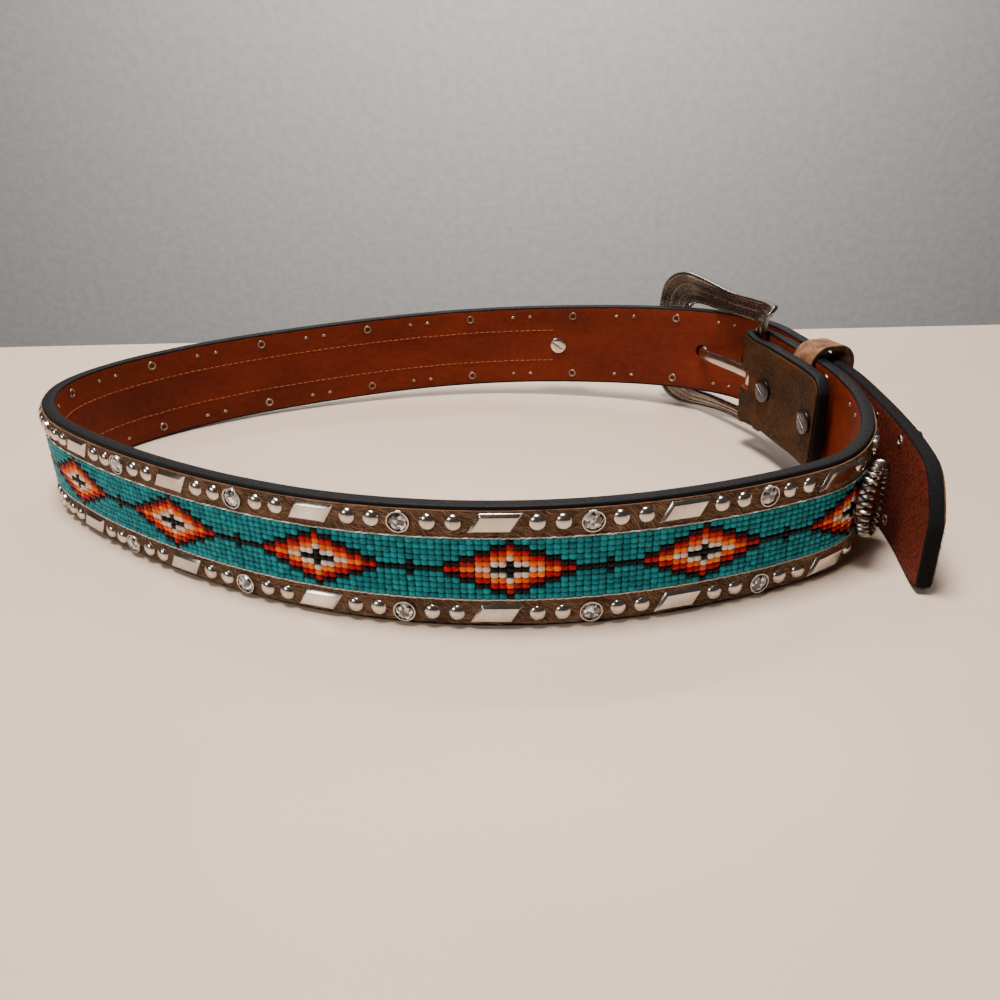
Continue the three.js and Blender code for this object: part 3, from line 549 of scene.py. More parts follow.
def distance_along(tree, flat):
    return place_node(tree, "ShaderNodeSeparateXYZ", {0: flat}).outputs["X"]


def stretch(tree, vector, scale, turn=0.0):
    """Scales a coordinate, and turns it in the face of the strap."""
    sockets = {"Vector": vector, "Scale": scale, "Rotation": (0, turn, 0)}
    return place_node(tree, "ShaderNodeMapping", sockets).outputs["Vector"]


def bump(tree, shader, height, strength, distance):
    sockets = {"Height": height, "Strength": strength, "Distance": distance}
    node = place_node(tree, "ShaderNodeBump", sockets)
    drive(shader, "Normal", node.outputs["Normal"])


def grouped(tree, group, sockets):
    return place_node(tree, "ShaderNodeGroup", sockets, node_tree=group)


def mottled(tree, vector, scale, dark, light, contrast):
    """The mottle group on a coordinate, between two colours as they look on a screen."""
    return grouped(tree, mottle, {"Vector": vector, "Scale": scale, "Dark": rgb(*dark),
                                  "Light": rgb(*light), "Contrast": contrast})


# %% [markdown]
# ## Finishes of the strap
#
# The back of the strap is smooth russet leather, darker where it was handled, with black paint on
# the rounded edges. The free tip shows the rougher side of its lining. The face is hair-on
# hide: short hair lies along the strap in streaks, so its noise is stretched along the hair.

# %% Russet leather with painted edges
ROUGH_FROM = 842 * mm

russet, tree, shader = new_material("russet leather", Specular_IOR_Level=0.14)
flat = attribute(tree, "flat")
edge = attribute(tree, "edge", "Fac")
tone = mottled(tree, stretch(tree, flat, (0.35, 1, 1)), 55.0, (76, 18, 3), (112, 36, 8), 0.9)
rub = mottled(tree, stretch(tree, flat, (0.6, 1, 1)), 420.0, (62, 14, 2), (118, 44, 12), 0.6)
leather = mix(tree, 0.35, tone.outputs["Color"], rub.outputs["Color"])
rough_end = span(tree, distance_along(tree, flat), ROUGH_FROM, ROUGH_FROM + 14 * mm)
nap = mottled(tree, flat, 900.0, (34, 8, 2), (112, 38, 14), 1.0)
leather = mix(tree, rough_end, leather, nap.outputs["Color"])
paint = grouped(tree, edge_paint, {"Edge": edge, "Width": 1.0 * mm, "Vector": flat})
drive(shader, "Base Color", mix(tree, paint.outputs["Share"], leather, rgb(12, 10, 12)))
pores = grouped(tree, grain, {"Vector": flat, "Scale": 1100.0})
smooth = span(tree, pores.outputs["Height"], 0.2, 0.9, 0.42, 0.6)
roughness = maths(tree, "ADD", smooth, maths(tree, "MULTIPLY", rough_end, 0.3))
drive(shader, "Roughness", roughness)
relief = maths(tree, "ADD", pores.outputs["Height"], maths(tree, "MULTIPLY", nap.outputs["Share"], rough_end))
bump(tree, shader, relief, 0.4, 0.15 * mm)

# %% Hair-on hide
hair_ground, tree, shader = new_material("hair-on hide", Roughness=0.75, Specular_IOR_Level=0.1)
flat = attribute(tree, "flat")
along_hair = stretch(tree, flat, (0.14, 1, 1), math.radians(24))
along_lock = stretch(tree, flat, (0.4, 1, 1), math.radians(24))
streak = mottled(tree, along_hair, 1500.0, (38, 23, 16), (128, 92, 68), 1.0)
lock = mottled(tree, along_lock, 210.0, (56, 34, 22), (122, 88, 64), 1.0)
blotch = mottled(tree, flat, 75.0, (20, 9, 3), (84, 46, 16), 1.0)
hair_colour = mix(tree, 0.5, streak.outputs["Color"], lock.outputs["Color"])
on_flap = span(tree, distance_along(tree, flat), -12 * mm, -4 * mm, 0.9, 0.0)
drive(shader, "Base Color", mix(tree, on_flap, hair_colour, blotch.outputs["Color"]))
bump(tree, shader, streak.outputs["Share"], 0.6, 0.25 * mm)

# %% Single hairs, each with its own tone
hair_strand, tree, shader = new_material("hair", Roughness=0.5, Specular_IOR_Level=0.15)
own = attribute(tree, "tone", "Fac")
flat = attribute(tree, "flat")
lock = mottled(tree, flat, 90.0, (58, 36, 24), (124, 90, 64), 1.0)
pale = mix(tree, span(tree, own, 0.35, 1.0), lock.outputs["Color"], rgb(158, 128, 102))
dark = mix(tree, span(tree, own, 0.0, 0.3, 1.0, 0.0), pale, rgb(44, 28, 18))
on_flap = span(tree, distance_along(tree, flat), -12 * mm, -4 * mm, 0.8, 0.0)
drive(shader, "Base Color", mix(tree, on_flap, dark, rgb(50, 26, 8)))
print("strap finishes ready")

# %% [markdown]
# ## Metal, glass and thread
#
# The studs are plated nickel, bright with faint handling marks. The buckle has the same plating
# over a darkened ground. Seed beads are glossy glass: each takes its own slight tone from the
# number that its copy carries.


# %% Metals
def metal(name, bright, dull, rough, marks, contrast=0.8):
    material, tree, shader = new_material(name, Metallic=1.0)
    place = own_place(tree)
    wear = mottled(tree, place, 160.0, dull, bright, contrast)
    drive(shader, "Base Color", wear.outputs["Color"])
    scuffs = noise(tree, place, 1400.0, 6.0, 0.7)
    drive(shader, "Roughness", span(tree, scuffs, 0.3, 0.75, rough, rough + 0.12))
    bump(tree, shader, scuffs, marks, 0.03 * mm)
    return material, tree, shader


nickel, _, _ = metal("bright nickel", (214, 206, 198), (188, 178, 168), 0.14, 0.12)
dark_nickel, _, _ = metal("dark nickel", (98, 96, 98), (62, 60, 62), 0.24, 0.2)
worn_nickel, _, _ = metal("worn nickel", (166, 148, 134), (112, 94, 82), 0.3, 0.2)

# %% Antique plating: dark in the hollows
antique, tree, shader = metal("antique plating", (158, 150, 143), (112, 104, 97), 0.2, 0.02, 0.35)
hollow = attribute(tree, "hollow", "Fac")
place = own_place(tree)
grime = maths(tree, "MULTIPLY", hollow, span(tree, noise(tree, place, 90.0), 0.3, 0.7, 0.6, 0.95))
plain = shader.inputs["Base Color"].links[0].from_socket
drive(shader, "Base Color", mix(tree, grime, plain, rgb(74, 64, 58)))


# %% Glass beads
def bead_glass(name, deep, clear):
    material, tree, shader = new_material(name, Roughness=0.2, Specular_IOR_Level=0.14)
    own = attribute(tree, "tone", "Fac")
    flat = attribute(tree, "flat")
    cloud = noise(tree, flat, 900.0, 2.0)
    share = maths(tree, "ADD", maths(tree, "MULTIPLY", own, 0.7), maths(tree, "MULTIPLY", cloud, 0.3))
    drive(shader, "Base Color", mix(tree, share, deep, clear))
    return material


BEAD_GLASS = {
    "T": bead_glass("teal bead", rgb(0, 92, 104), rgb(10, 146, 154)),
    "R": bead_glass("red bead", rgb(120, 4, 12), rgb(186, 12, 18)),
    "O": bead_glass("orange bead", rgb(214, 74, 0), rgb(250, 126, 6)),
    "W": bead_glass("pale bead", rgb(202, 180, 170), rgb(236, 222, 212)),
    "B": bead_glass("black bead", rgb(2, 2, 3), rgb(8, 7, 9)),
}


# %% Thread, crystal and plain leathers
def thread(name, dark, light):
    material, tree, shader = new_material(name, Roughness=0.8, Specular_IOR_Level=0.1)
    place = own_place(tree)
    strands = mottled(tree, place, 1600.0, dark, light, 1.0)
    drive(shader, "Base Color", strands.outputs["Color"])
    bump(tree, shader, strands.outputs["Share"], 0.5, 0.1 * mm)
    return material


white_thread = thread("white thread", (196, 186, 176), (240, 232, 224))
tan_thread = thread("tan thread", (112, 52, 26), (160, 94, 58))
warp_thread = thread("dark warp", (0, 26, 28), (4, 44, 46))

crystal, tree, shader = new_material("crystal", Roughness=0.03, IOR=1.7, Metallic=0.55,
                                     Coat_Weight=1.0, Coat_Roughness=0.02)
place = own_place(tree)
# Painted light: each Voronoi cell is painted a lighter or darker grey as painted light and shade on the
# facets, and the brightest cells are painted white as painted glints.
facets = place_node(tree, "ShaderNodeTexVoronoi", {"Vector": place, "Scale": 950.0}).outputs["Color"]
painted_glint = place_node(tree, "ShaderNodeSeparateColor", {0: facets}).outputs[0]
painted_facet_light = mix(tree, span(tree, painted_glint, 0.2, 0.75), rgb(64, 64, 68), rgb(196, 196, 200))
drive(shader, "Base Color", mix(tree, span(tree, painted_glint, 0.78, 0.9), painted_facet_light, rgb(255, 255, 255)))

tan_leather, tree, shader = new_material("tan leather", Specular_IOR_Level=0.3)
place = own_place(tree)
tone = mottled(tree, place, 240.0, (76, 46, 28), (136, 94, 62), 0.9)
edge = attribute(tree, "edge", "Fac")
paint = grouped(tree, edge_paint, {"Edge": edge, "Width": 0.2 * mm, "Vector": place})
edged = mix(tree, paint.outputs["Share"], tone.outputs["Color"], rgb(52, 34, 26))
drive(shader, "Base Color", edged)
pores = grouped(tree, grain, {"Vector": place, "Scale": 1000.0})
drive(shader, "Roughness", span(tree, pores.outputs["Height"], 0.2, 0.9, 0.6, 0.8))
bump(tree, shader, pores.outputs["Height"], 0.5, 0.15 * mm)
print("materials:", len(bpy.data.materials))

# %% [markdown]
# ## The strap
#
# A belt strap is layers of leather glued and sewn together, then sanded and painted along the
# edges so that they read as one. It starts as a flat grid the length of the whole strap, is
# trimmed to the shape of the tip and of the flap's end, and gets its thickness from Solidify and
# its rounded edges from Bevel. The slot for the buckle's tongue and the holes are cut while the
# strap is flat, with one cutter.

# %% Outline of the strap at a distance
HIDE_SEAT = 1.9 * mm
HIDE_FACE = 2.45 * mm
MIDDLE = BELT_WIDTH / 2


def outline(distances):
    """Lower and upper edge of the strap at each distance: full height, rounded at both ends."""
    low = np.zeros(len(distances))
    high = np.full(len(distances), BELT_WIDTH)
    to_tip = np.clip(1 - (STRAP_END - distances) / (0.62 * BELT_WIDTH), 0, 1)
    high -= 0.42 * BELT_WIDTH * to_tip ** 3.2
    low += 0.07 * BELT_WIDTH * np.clip(1 - (STRAP_END - distances) / (0.25 * BELT_WIDTH), 0, 1) ** 3
    on_flap = np.clip((FOLD_START - distances) / (4 * mm), 0, 1)
    to_cut = np.clip(1 - (distances - STRAP_START) / (0.16 * BELT_WIDTH), 0, 1)
    trim = FLAP_INSET * on_flap + 0.13 * BELT_WIDTH * to_cut ** 2.2
    return low + trim, high - trim


def edge_distance(flat):
    """How far each flat point lies from the nearest cut edge."""
    low, high = outline(flat[:, 0])
    ends = np.minimum(flat[:, 0] - STRAP_START, STRAP_END - flat[:, 0])
    return np.minimum(np.minimum(flat[:, 2] - low, high - flat[:, 2]), ends)


COLUMN_CROWDING = 0.72 / (2 * math.pi)
COLUMN_FADE = 40


def trim_to_outline(piece, inset, start, end):
    """Fits a flat grid between the strap's edges, with its columns closer at the two ends."""
    points = get_points(piece)
    share = (points[:, 0] - points[:, 0].min()) / np.ptp(points[:, 0])
    rise = (points[:, 2] - points[:, 2].min()) / np.ptp(points[:, 2])
    crowd = COLUMN_CROWDING * np.exp(-COLUMN_FADE * np.minimum(share, 1 - share))
    eased = share - crowd * np.sin(2 * np.pi * share)
    distance = start + np.clip(eased, 0, 1) * (end - start)
    low, high = outline(distance)
    points[:, 0] = distance
    points[:, 2] = low + inset + rise * (high - low - 2 * inset)
    set_points(piece, points)


# %% A flat grid of leather
STRAP_COLUMNS = 560
STRAP_ROWS = 12
SUNK = 0.2 * mm


def leather_grid(name, start, end, depth, columns, rows):
    """Stands a grid up in the plane of the strap's face at a depth."""
    piece = begin(name, bpy.ops.mesh.primitive_grid_add, x_subdivisions=columns, y_subdivisions=rows,
                  size=1, location=(0, 0, 0))
    edit(piece)
    rotate(math.pi / 2, "X")
    resize(end - start, 1, BELT_WIDTH)
    move((start + end) / 2, depth, MIDDLE)
    done()
    return piece


# %% The cutter: tongue slot and five holes
FIRST_HOLE = 767.5 * mm
HOLE_PITCH = 25 * mm
HOLE_RADIUS = 2.9 * mm
HOLES = 5
CUTTER_DEPTH = 20 * mm
SLOT_HALF = 3.9 * mm
SLOT_REACH = 3.4 * mm

cutter = begin("cutter", bpy.ops.mesh.primitive_cube_add, size=1, location=(0, 0, 0))
edit(cutter)
resize(2 * SLOT_REACH - FOLD_START, CUTTER_DEPTH, 2 * SLOT_HALF)
move(FOLD_START / 2, 0, MIDDLE)
for hole in range(HOLES):
    bpy.ops.mesh.primitive_cylinder_add(vertices=28, radius=HOLE_RADIUS, depth=CUTTER_DEPTH,
                                        rotation=(math.pi / 2, 0, 0),
                                        location=(FIRST_HOLE + hole * HOLE_PITCH, 0, MIDDLE))
done()
print("cutter faces:", len(cutter.data.polygons))

# %% The strap body, with its paint reaching further on the outer side
WIDER_OUTSIDE = 0.7 * mm

body = leather_grid("strap_body", STRAP_START, STRAP_END, INNER_FACE, STRAP_COLUMNS, STRAP_ROWS)
trim_to_outline(body, 0, STRAP_START, STRAP_END)
modify(body, "SOLIDIFY", thickness=HIDE_SEAT - INNER_FACE, offset=1)
print("body depth: %.2f to %.2f mm" % (get_points(body)[:, 1].min() / mm, get_points(body)[:, 1].max() / mm))
modify(body, "BEVEL", width=1.1 * mm, segments=3, limit_method="ANGLE", angle_limit=math.radians(50))
modify(body, "BOOLEAN", operation="DIFFERENCE", object=cutter, solver="EXACT")
points = get_points(body)
keep(body, "edge", edge_distance(points) - WIDER_OUTSIDE * (points[:, 1] > 0))
bend(body)
finish_piece(body, russet, replaces=["strap_core"], angle=50)

# %% The hide face
hide = leather_grid("hide_face", STRAP_START, STRAP_END, HIDE_SEAT - SUNK, STRAP_COLUMNS, STRAP_ROWS)
trim_to_outline(hide, 1.25 * mm, STRAP_START + 1.2 * mm, STRAP_END - 1.4 * mm)
modify(hide, "SOLIDIFY", thickness=HIDE_FACE - HIDE_SEAT + SUNK, offset=1)
modify(hide, "BOOLEAN", operation="DIFFERENCE", object=cutter, solver="EXACT")
bend(hide)
finish_piece(hide, hair_ground, replaces=["hide_facing"], angle=50)
remove(cutter)

# %% [markdown]
# ## The beads
#
# The strip is loomed: eleven beads lie across it, and each row of beads is held between long warp
# threads. Each bead is a short barrel with its hole across the strip, modelled once. The pattern
# is charted on squared paper, as a bead worker does: a stepped diamond in red, orange and white
# round a black cross, repeated every 26 columns and joined by a black line.

# %% One bead
BEAD_PITCH = 2.131 * mm
ROW_PITCH = 1.73 * mm
BEAD_DEPTH = 2.15 * mm
SQUARER = 1.16

bead = begin("bead", bpy.ops.mesh.primitive_cylinder_add, vertices=8, radius=1.1 * mm, depth=1.76 * mm)
edit(bead, edges=lambda a, b: abs(a.z - b.z) < 1e-6)
bpy.ops.mesh.bevel(offset=0.46 * mm, segments=2)
bpy.ops.mesh.select_all(action="SELECT")
resize(1.08, 0.9, 1)
done()
points = get_points(bead)
reach = np.hypot(points[:, 0], points[:, 1])
square = (np.abs(points[:, 0] / reach) ** 3 + np.abs(points[:, 1] / reach) ** 3) ** (-1 / 3)
points[:, :2] *= np.minimum(square, SQUARER)[:, None]
set_points(bead, points)
print("one bead:", len(bead.data.polygons), "faces")

# %% The chart
DIAMOND = {
    0: "RROOWWBBBBBWWOORR",
    1: "BBRROOWWBWWOORRBB",
    2: "BBRROOWOORRBB",
    3: "BBRRORRBB",
    4: "BBRBB",
    5: "B",
}
REPEAT = 26
FIRST_DIAMOND = 110.9 * mm
STRIP_START = 101.5 * mm
STRIP_END = 691.5 * mm


def chart(column, row):
    """Colour letter of a bead, by its column from a diamond's middle and its row."""
    place = (column + REPEAT // 2) % REPEAT - REPEAT // 2
    row = abs(row)
    half = len(DIAMOND[row]) // 2
    if abs(place) <= half:
        return DIAMOND[row][place + half]
    on_line = row == 0 and abs(place) > half
    on_cross = row == 1 and place == -REPEAT // 2
    return "B" if on_line or on_cross else "T"


# %% All the beads, joined by colour
BEAD_NAMES = {"T": "beads_teal", "R": "beads_red", "O": "beads_orange", "W": "beads_white",
              "B": "beads_black"}
bead_places = {letter: [] for letter in BEAD_NAMES}
first = math.ceil((STRIP_START - FIRST_DIAMOND) / BEAD_PITCH)
last = math.floor((STRIP_END - FIRST_DIAMOND) / BEAD_PITCH)
for column in range(first, last + 1):
    slip = random.uniform(-0.12, 0.12) * mm
    for row in range(-5, 6):
        spot = (
            FIRST_DIAMOND + column * BEAD_PITCH + slip + random.uniform(-0.06, 0.06) * mm,
            BEAD_DEPTH + random.uniform(-0.12, 0.1) * mm,
            MIDDLE + row * ROW_PITCH + random.uniform(-0.05, 0.05) * mm,
        )
        bead_places[chart(column, row)].append(spot)

for letter, name in BEAD_NAMES.items():
    spots = bead_places[letter]
    lean = np.random.default_rng(len(spots)).uniform(-0.09, 0.09, len(spots))
    strip = bend(scatter(name, bead, spots, lean))
    finish_piece(strip, BEAD_GLASS[letter], angle=60)
remove(bead)

# %% [markdown]
# ## Threads of the strip
#
# Behind the beads lies the dark web of warp threads, and a white thread whips each long edge of
# the strip down. The whipping is short slanted stitches, modelled as one and repeated.

# %% The web behind the beads
web = leather_grid("bead_web", STRIP_START, STRIP_END, HIDE_FACE - 0.35 * mm, 300, 11)
points = get_points(web)
points[:, 2] = MIDDLE + (points[:, 2] - MIDDLE) * 0.5
set_points(web, points)
modify(web, "SOLIDIFY", thickness=0.45 * mm, offset=1)
bend(web)
finish_piece(web, warp_thread, replaces=["bead_band"])

# %% One stitch and the rows that it makes
stitch = begin("stitch", bpy.ops.mesh.primitive_uv_sphere_add, segments=8, ring_count=6, radius=1)
edit(stitch)
rotate(math.pi / 2, "Y")
resize(1.5 * mm, 0.34 * mm, 0.3 * mm)
done()

WHIP_HEIGHT = 9.72 * mm
SEAM_HEIGHT = 7.5 * mm
SEAM_PITCH = 2.9 * mm

whip_places = []
for height in (MIDDLE - WHIP_HEIGHT, MIDDLE + WHIP_HEIGHT):
    for distance in np.arange(STRIP_START, STRIP_END, BEAD_PITCH):
        whip_places.append((distance, HIDE_FACE + 0.34 * mm, height + random.uniform(-0.07, 0.07) * mm))
turns = np.random.default_rng(3).uniform(-0.16, 0.04, len(whip_places))
fine_stitch = duplicate(stitch, "fine stitch")
set_points(fine_stitch, get_points(stitch) * [0.85, 0.75, 0.62])
whipping = bend(scatter("edge_whipping", fine_stitch, whip_places, turns))
remove(fine_stitch)
finish_piece(whipping, white_thread)

# %% Seams on the back of the strap
seam_places = []
for height in (MIDDLE - SEAM_HEIGHT, MIDDLE + SEAM_HEIGHT):
    for distance in np.arange(STRIP_START + 1 * mm, STRIP_END, SEAM_PITCH):
        seam_places.append((distance, INNER_FACE - 0.02 * mm, height + random.uniform(-0.08, 0.08) * mm))
turns = np.random.default_rng(4).uniform(-0.05, 0.05, len(seam_places))
set_points(stitch, get_points(stitch) * [0.8, 0.8, 0.85])
seams = bend(scatter("back_seams", stitch, seam_places, turns))
finish_piece(seams, tan_thread)
remove(stitch)

# %% [markdown]
# ## Studs and crystals
#
# Two rows of metal studs run along the borders. Between one crystal and the next come two round
# nailheads, a slanted bar and two more nailheads. Each kind is made once. The bar is a box
# whose top is inset and raised to a flat table with sloping sides.

# %% Places of the studs
CRYSTALS = []
place = 42.37 * mm
for pitch, repeats in ((52.32 * mm, 7), (43.79 * mm, 2), (51.5 * mm, 8)):
    for _ in range(repeats):
        CRYSTALS.append((place, pitch))
        place += pitch
CRYSTALS.append((place, pitch))
STUD_HEIGHT = 14.25 * mm
STUD_ROWS = (MIDDLE + STUD_HEIGHT, MIDDLE - STUD_HEIGHT)
CONCHOS = (101.6 * mm, 695.1 * mm)
CONCHO_RADIUS = 12.4 * mm
TIP_CLEAR = STRAP_END - 0.45 * BELT_WIDTH


def has_room(distance, reach):
    """Whether a stud clears the conchos, the fold and the tip."""
    clear = all(math.hypot(distance - c, STUD_HEIGHT) > CONCHO_RADIUS + reach + 0.15 * mm for c in CONCHOS)
    return clear and reach + 1 * mm < distance < TIP_CLEAR


before_first = (CRYSTALS[0][0] - CRYSTALS[0][1], CRYSTALS[0][1])
dome_places, bar_places, crystal_places = [], [], []
for row in STUD_ROWS:
    for distance, pitch in [before_first, *CRYSTALS]:
        for share in (0.15, 0.285, 0.715, 0.85):
            if has_room(distance + share * pitch, 2.3 * mm):
                dome_places.append((distance + share * pitch, HIDE_FACE, row))
        if has_room(distance + pitch / 2, 5.6 * mm):
            bar_places.append((distance + pitch / 2, HIDE_FACE, row))
        if has_room(distance, 3.05 * mm):
            crystal_places.append((distance, HIDE_FACE, row))
print("domes, bars, crystals:", len(dome_places), len(bar_places), len(crystal_places))

# %% Round nailheads
dome = begin("dome", bpy.ops.mesh.primitive_uv_sphere_add, segments=16, ring_count=10, radius=1)
edit(dome)
bpy.ops.mesh.bisect(plane_co=(0, 0, 0.05), plane_no=(0, 0, 1), clear_inner=True, use_fill=True)
bpy.ops.mesh.select_all(action="SELECT")
resize(2.55 * mm, 2.55 * mm, 1.6 * mm)
move(0, 0, -0.1 * mm)
done()
domes = bend(scatter("nailheads", stand_up(dome), dome_places))
finish_piece(domes, nickel, angle=60)
remove(dome)

# %% Slanted bars
bar = begin("bar", bpy.ops.mesh.primitive_cube_add, size=1)
edit(bar)
resize(11.9 * mm, 6.0 * mm, 0.7 * mm)
done()
edit(bar, faces=lambda centre, normal: normal.z > 0.9)
bpy.ops.mesh.inset(thickness=0.95 * mm, depth=0.85 * mm)
bpy.ops.mesh.select_all(action="SELECT")
bpy.ops.mesh.bevel(offset=0.12 * mm, segments=2)
done()
points = get_points(bar)
points[:, 0] += points[:, 1] * (3.4 / 6.0)
set_points(bar, points)
bars = bend(scatter("slanted_bars", stand_up(bar), bar_places))
finish_piece(bars, nickel, angle=25)
remove(bar)

# %% Crystal cups
cup = begin("cup", bpy.ops.mesh.primitive_cylinder_add, vertices=24, radius=3.25 * mm, depth=1.3 * mm)
edit(cup, faces=lambda centre, normal: normal.z > 0.9)
bpy.ops.mesh.inset(thickness=0.36 * mm)
bpy.ops.mesh.extrude_region_move(TRANSFORM_OT_translate={"value": (0, 0, -0.9 * mm)})
done()
edit(cup, edges=lambda a, b: min(a.z, b.z) > 0.6 * mm and abs(a.xy.length - b.xy.length) < 1e-5)
bpy.ops.mesh.bevel(offset=0.1 * mm, segments=2)
bpy.ops.mesh.select_all(action="SELECT")
move(0, 0, 0.55 * mm)
done()
cups = bend(scatter("crystal_cups", stand_up(cup), crystal_places))
finish_piece(cups, nickel, angle=40)
remove(cup)

# %% Crystals
stone = begin("stone", bpy.ops.mesh.primitive_ico_sphere_add, subdivisions=2, radius=1)
edit(stone)
rotate(0.3, "X")
bpy.ops.mesh.bisect(plane_co=(0, 0, 0), plane_no=(0, 0, 1), clear_inner=True, use_fill=True)
bpy.ops.mesh.select_all(action="SELECT")
resize(2.88 * mm, 2.88 * mm, 1.25 * mm)
move(0, 0, 0.45 * mm)
done()
stones = bend(scatter("crystals", stand_up(stone), crystal_places))
crystal_nodes = [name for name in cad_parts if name.startswith("crystal_")]
finish_piece(stones, crystal, replaces=crystal_nodes, angle=1)
remove(stone)

# %% [markdown]
# ## What shows on the back of the strap
#
# Studs are held by what goes through the leather: each crystal by a rivet whose ring shows on the
# back, and each bar by two prongs that are bent over.

# %% Rivet rings and prongs
ring = begin("ring", bpy.ops.mesh.primitive_torus_add, major_segments=18, minor_segments=6,
             major_radius=1.5 * mm, minor_radius=0.5 * mm)
rings = [(d, INNER_FACE + 0.1 * mm, z) for d, _, z in crystal_places]
rivets = bend(scatter("rivet_rings", stand_up(ring), rings))
finish_piece(rivets, worn_nickel)
remove(ring)

prong = begin("prong", bpy.ops.mesh.primitive_uv_sphere_add, segments=10, ring_count=6, radius=1)
edit(prong)
resize(1.0 * mm, 0.45 * mm, 0.7 * mm)
done()
prongs = [(d + side * 4.3 * mm, INNER_FACE, z) for d, _, z in bar_places for side in (-1, 1)]
prongs = bend(scatter("prongs", prong, prongs))
finish_piece(prongs, worn_nickel)
remove(prong)

# %% [markdown]
# ## Hair
#
# The hide keeps its short hair. A particle system could grow it, but what is exported must be
# plain mesh, so each hair is a narrow blade of a few faces, laid along the strap with its tip a
# little raised, and the blades are joined like the beads.


# %% Lay the hairs
def lay_hair(name, zones, per_square_mm, seed):
    """Lays hairs over zones given as start, end, low and high in the flat strap."""
    rng = np.random.default_rng(seed)
    parts = []
    for start, end, low, high in zones:
        count = int((end - start) * (high - low) / mm ** 2 * per_square_mm)
        parts.append(np.stack([rng.uniform(start, end, count), rng.uniform(low, high, count)], 1))
    root = np.concatenate(parts)
    low, high = outline(root[:, 0])
    root = root[(root[:, 1] > low + 1.3 * mm) & (root[:, 1] < high - 1.3 * mm)]
    by_fold = (root[:, 0] > FOLD_START - 9 * mm) & (root[:, 0] < 9 * mm)
    in_slot = by_fold & (np.abs(root[:, 1] - MIDDLE) < SLOT_HALF + 1 * mm)
    holes = FIRST_HOLE + HOLE_PITCH * np.arange(HOLES)
    near_hole = np.min(np.hypot(root[:, :1] - holes, root[:, 1:] - MIDDLE), 1) < 3.2 * mm
    root = root[~in_slot & ~near_hole]
    count = len(root)
    swirl = 0.45 * np.sin(root[:, 0] * 210) + 0.3 * np.sin(root[:, 1] * 500 + root[:, 0] * 90)
    angle = math.pi + math.radians(22) + swirl + rng.normal(0, 0.25, count)
    length = rng.uniform(1.8, 3.8, count) * mm
    reach = root[:, 1] + np.sin(angle) * length
    low, high = outline(root[:, 0])
    angle = np.where((reach < low + 0.8 * mm) | (reach > high - 0.8 * mm), math.pi + 0.15 * swirl, angle)
    lift = rng.uniform(0.1, 0.45, count) * mm
    run = np.stack([np.cos(angle), np.zeros(count), np.sin(angle)], 1)
    side = np.stack([-np.sin(angle), np.zeros(count), np.cos(angle)], 1) * (0.07 * mm)
    base = np.stack([root[:, 0], np.full(count, HIDE_FACE), root[:, 1]], 1)
    out = np.array([[0, 1, 0]])
    middle = base + run * (length * 0.5)[:, None] + out * (lift * 0.8)[:, None]
    tip = base + run * length[:, None] + out * lift[:, None]
    points = np.stack([base - side, base + side, middle + side * 0.8, middle - side * 0.8, tip], 1)
    faces = []
    for i in range(0, count * 5, 5):
        faces.append((i, i + 1, i + 2, i + 3))
        faces.append((i + 3, i + 2, i + 4))
    piece = mesh_piece(name, points.reshape(-1, 3).tolist(), faces)
    keep(piece, "tone", np.repeat(rng.random(count), 5))
    bend(piece)
    return finish_piece(piece, hair_strand)


STRIP_LOW = MIDDLE - 9.6 * mm
STRIP_HIGH = MIDDLE + 9.6 * mm
borders = [(STRIP_START, STRIP_END, 0, STRIP_LOW), (STRIP_START, STRIP_END, STRIP_HIGH, BELT_WIDTH)]
panels = [(STRAP_START, STRIP_START, 0, BELT_WIDTH), (STRIP_END, STRAP_END, 0, BELT_WIDTH)]
lay_hair("hair_borders", borders, 3.2, 11)
lay_hair("hair_panels", panels, 3.0, 12)

# %% [markdown]
# ## Conchos
#
# A concho is a round ornament screwed through the strap. These cover the two ends of the beads.
# The disc is a cylinder whose top is inset and raised in steps, and its rim is cast as a rope of
# thirty rounded ridges.

# %% The disc
CONCHO_SEAT = 3.2 * mm
# Columns: width of each step inward and its rise, in mm.
DISC_STEPS = [(0.8, 0.5), (0.9, -0.6), (2.6, 0.1), (0.7, 0.6), (0.9, 0.5), (1.6, 0.6), (1.7, 0.2)]
PETALS = 12
PETAL_RISE = 0.35 * mm

disc = begin("disc", bpy.ops.mesh.primitive_cylinder_add, vertices=72, radius=11.2 * mm, depth=2.2 * mm,
             location=(0, 0, 0))
edit(disc)
move(0, 0, 1.1 * mm)
done()
edit(disc, faces=lambda centre, normal: normal.z > 0.9)
for width, rise in DISC_STEPS:
    bpy.ops.mesh.inset(thickness=width * mm, depth=rise * mm)
done()

# %% Petals pressed round the middle
points = get_points(disc)
radius = np.hypot(points[:, 0], points[:, 1])
angle = np.arctan2(points[:, 1], points[:, 0])
on_petals = (radius > 6 * mm) & (radius < 9.6 * mm) & (points[:, 2] > 1.5 * mm)
points[:, 2] += np.where(on_petals, np.cos(angle * PETALS) * PETAL_RISE, 0)
set_points(disc, points)
modify(disc, "BEVEL", width=0.15 * mm, segments=2, limit_method="ANGLE", angle_limit=math.radians(35))

# %% The ridged rim
RIDGES = 30

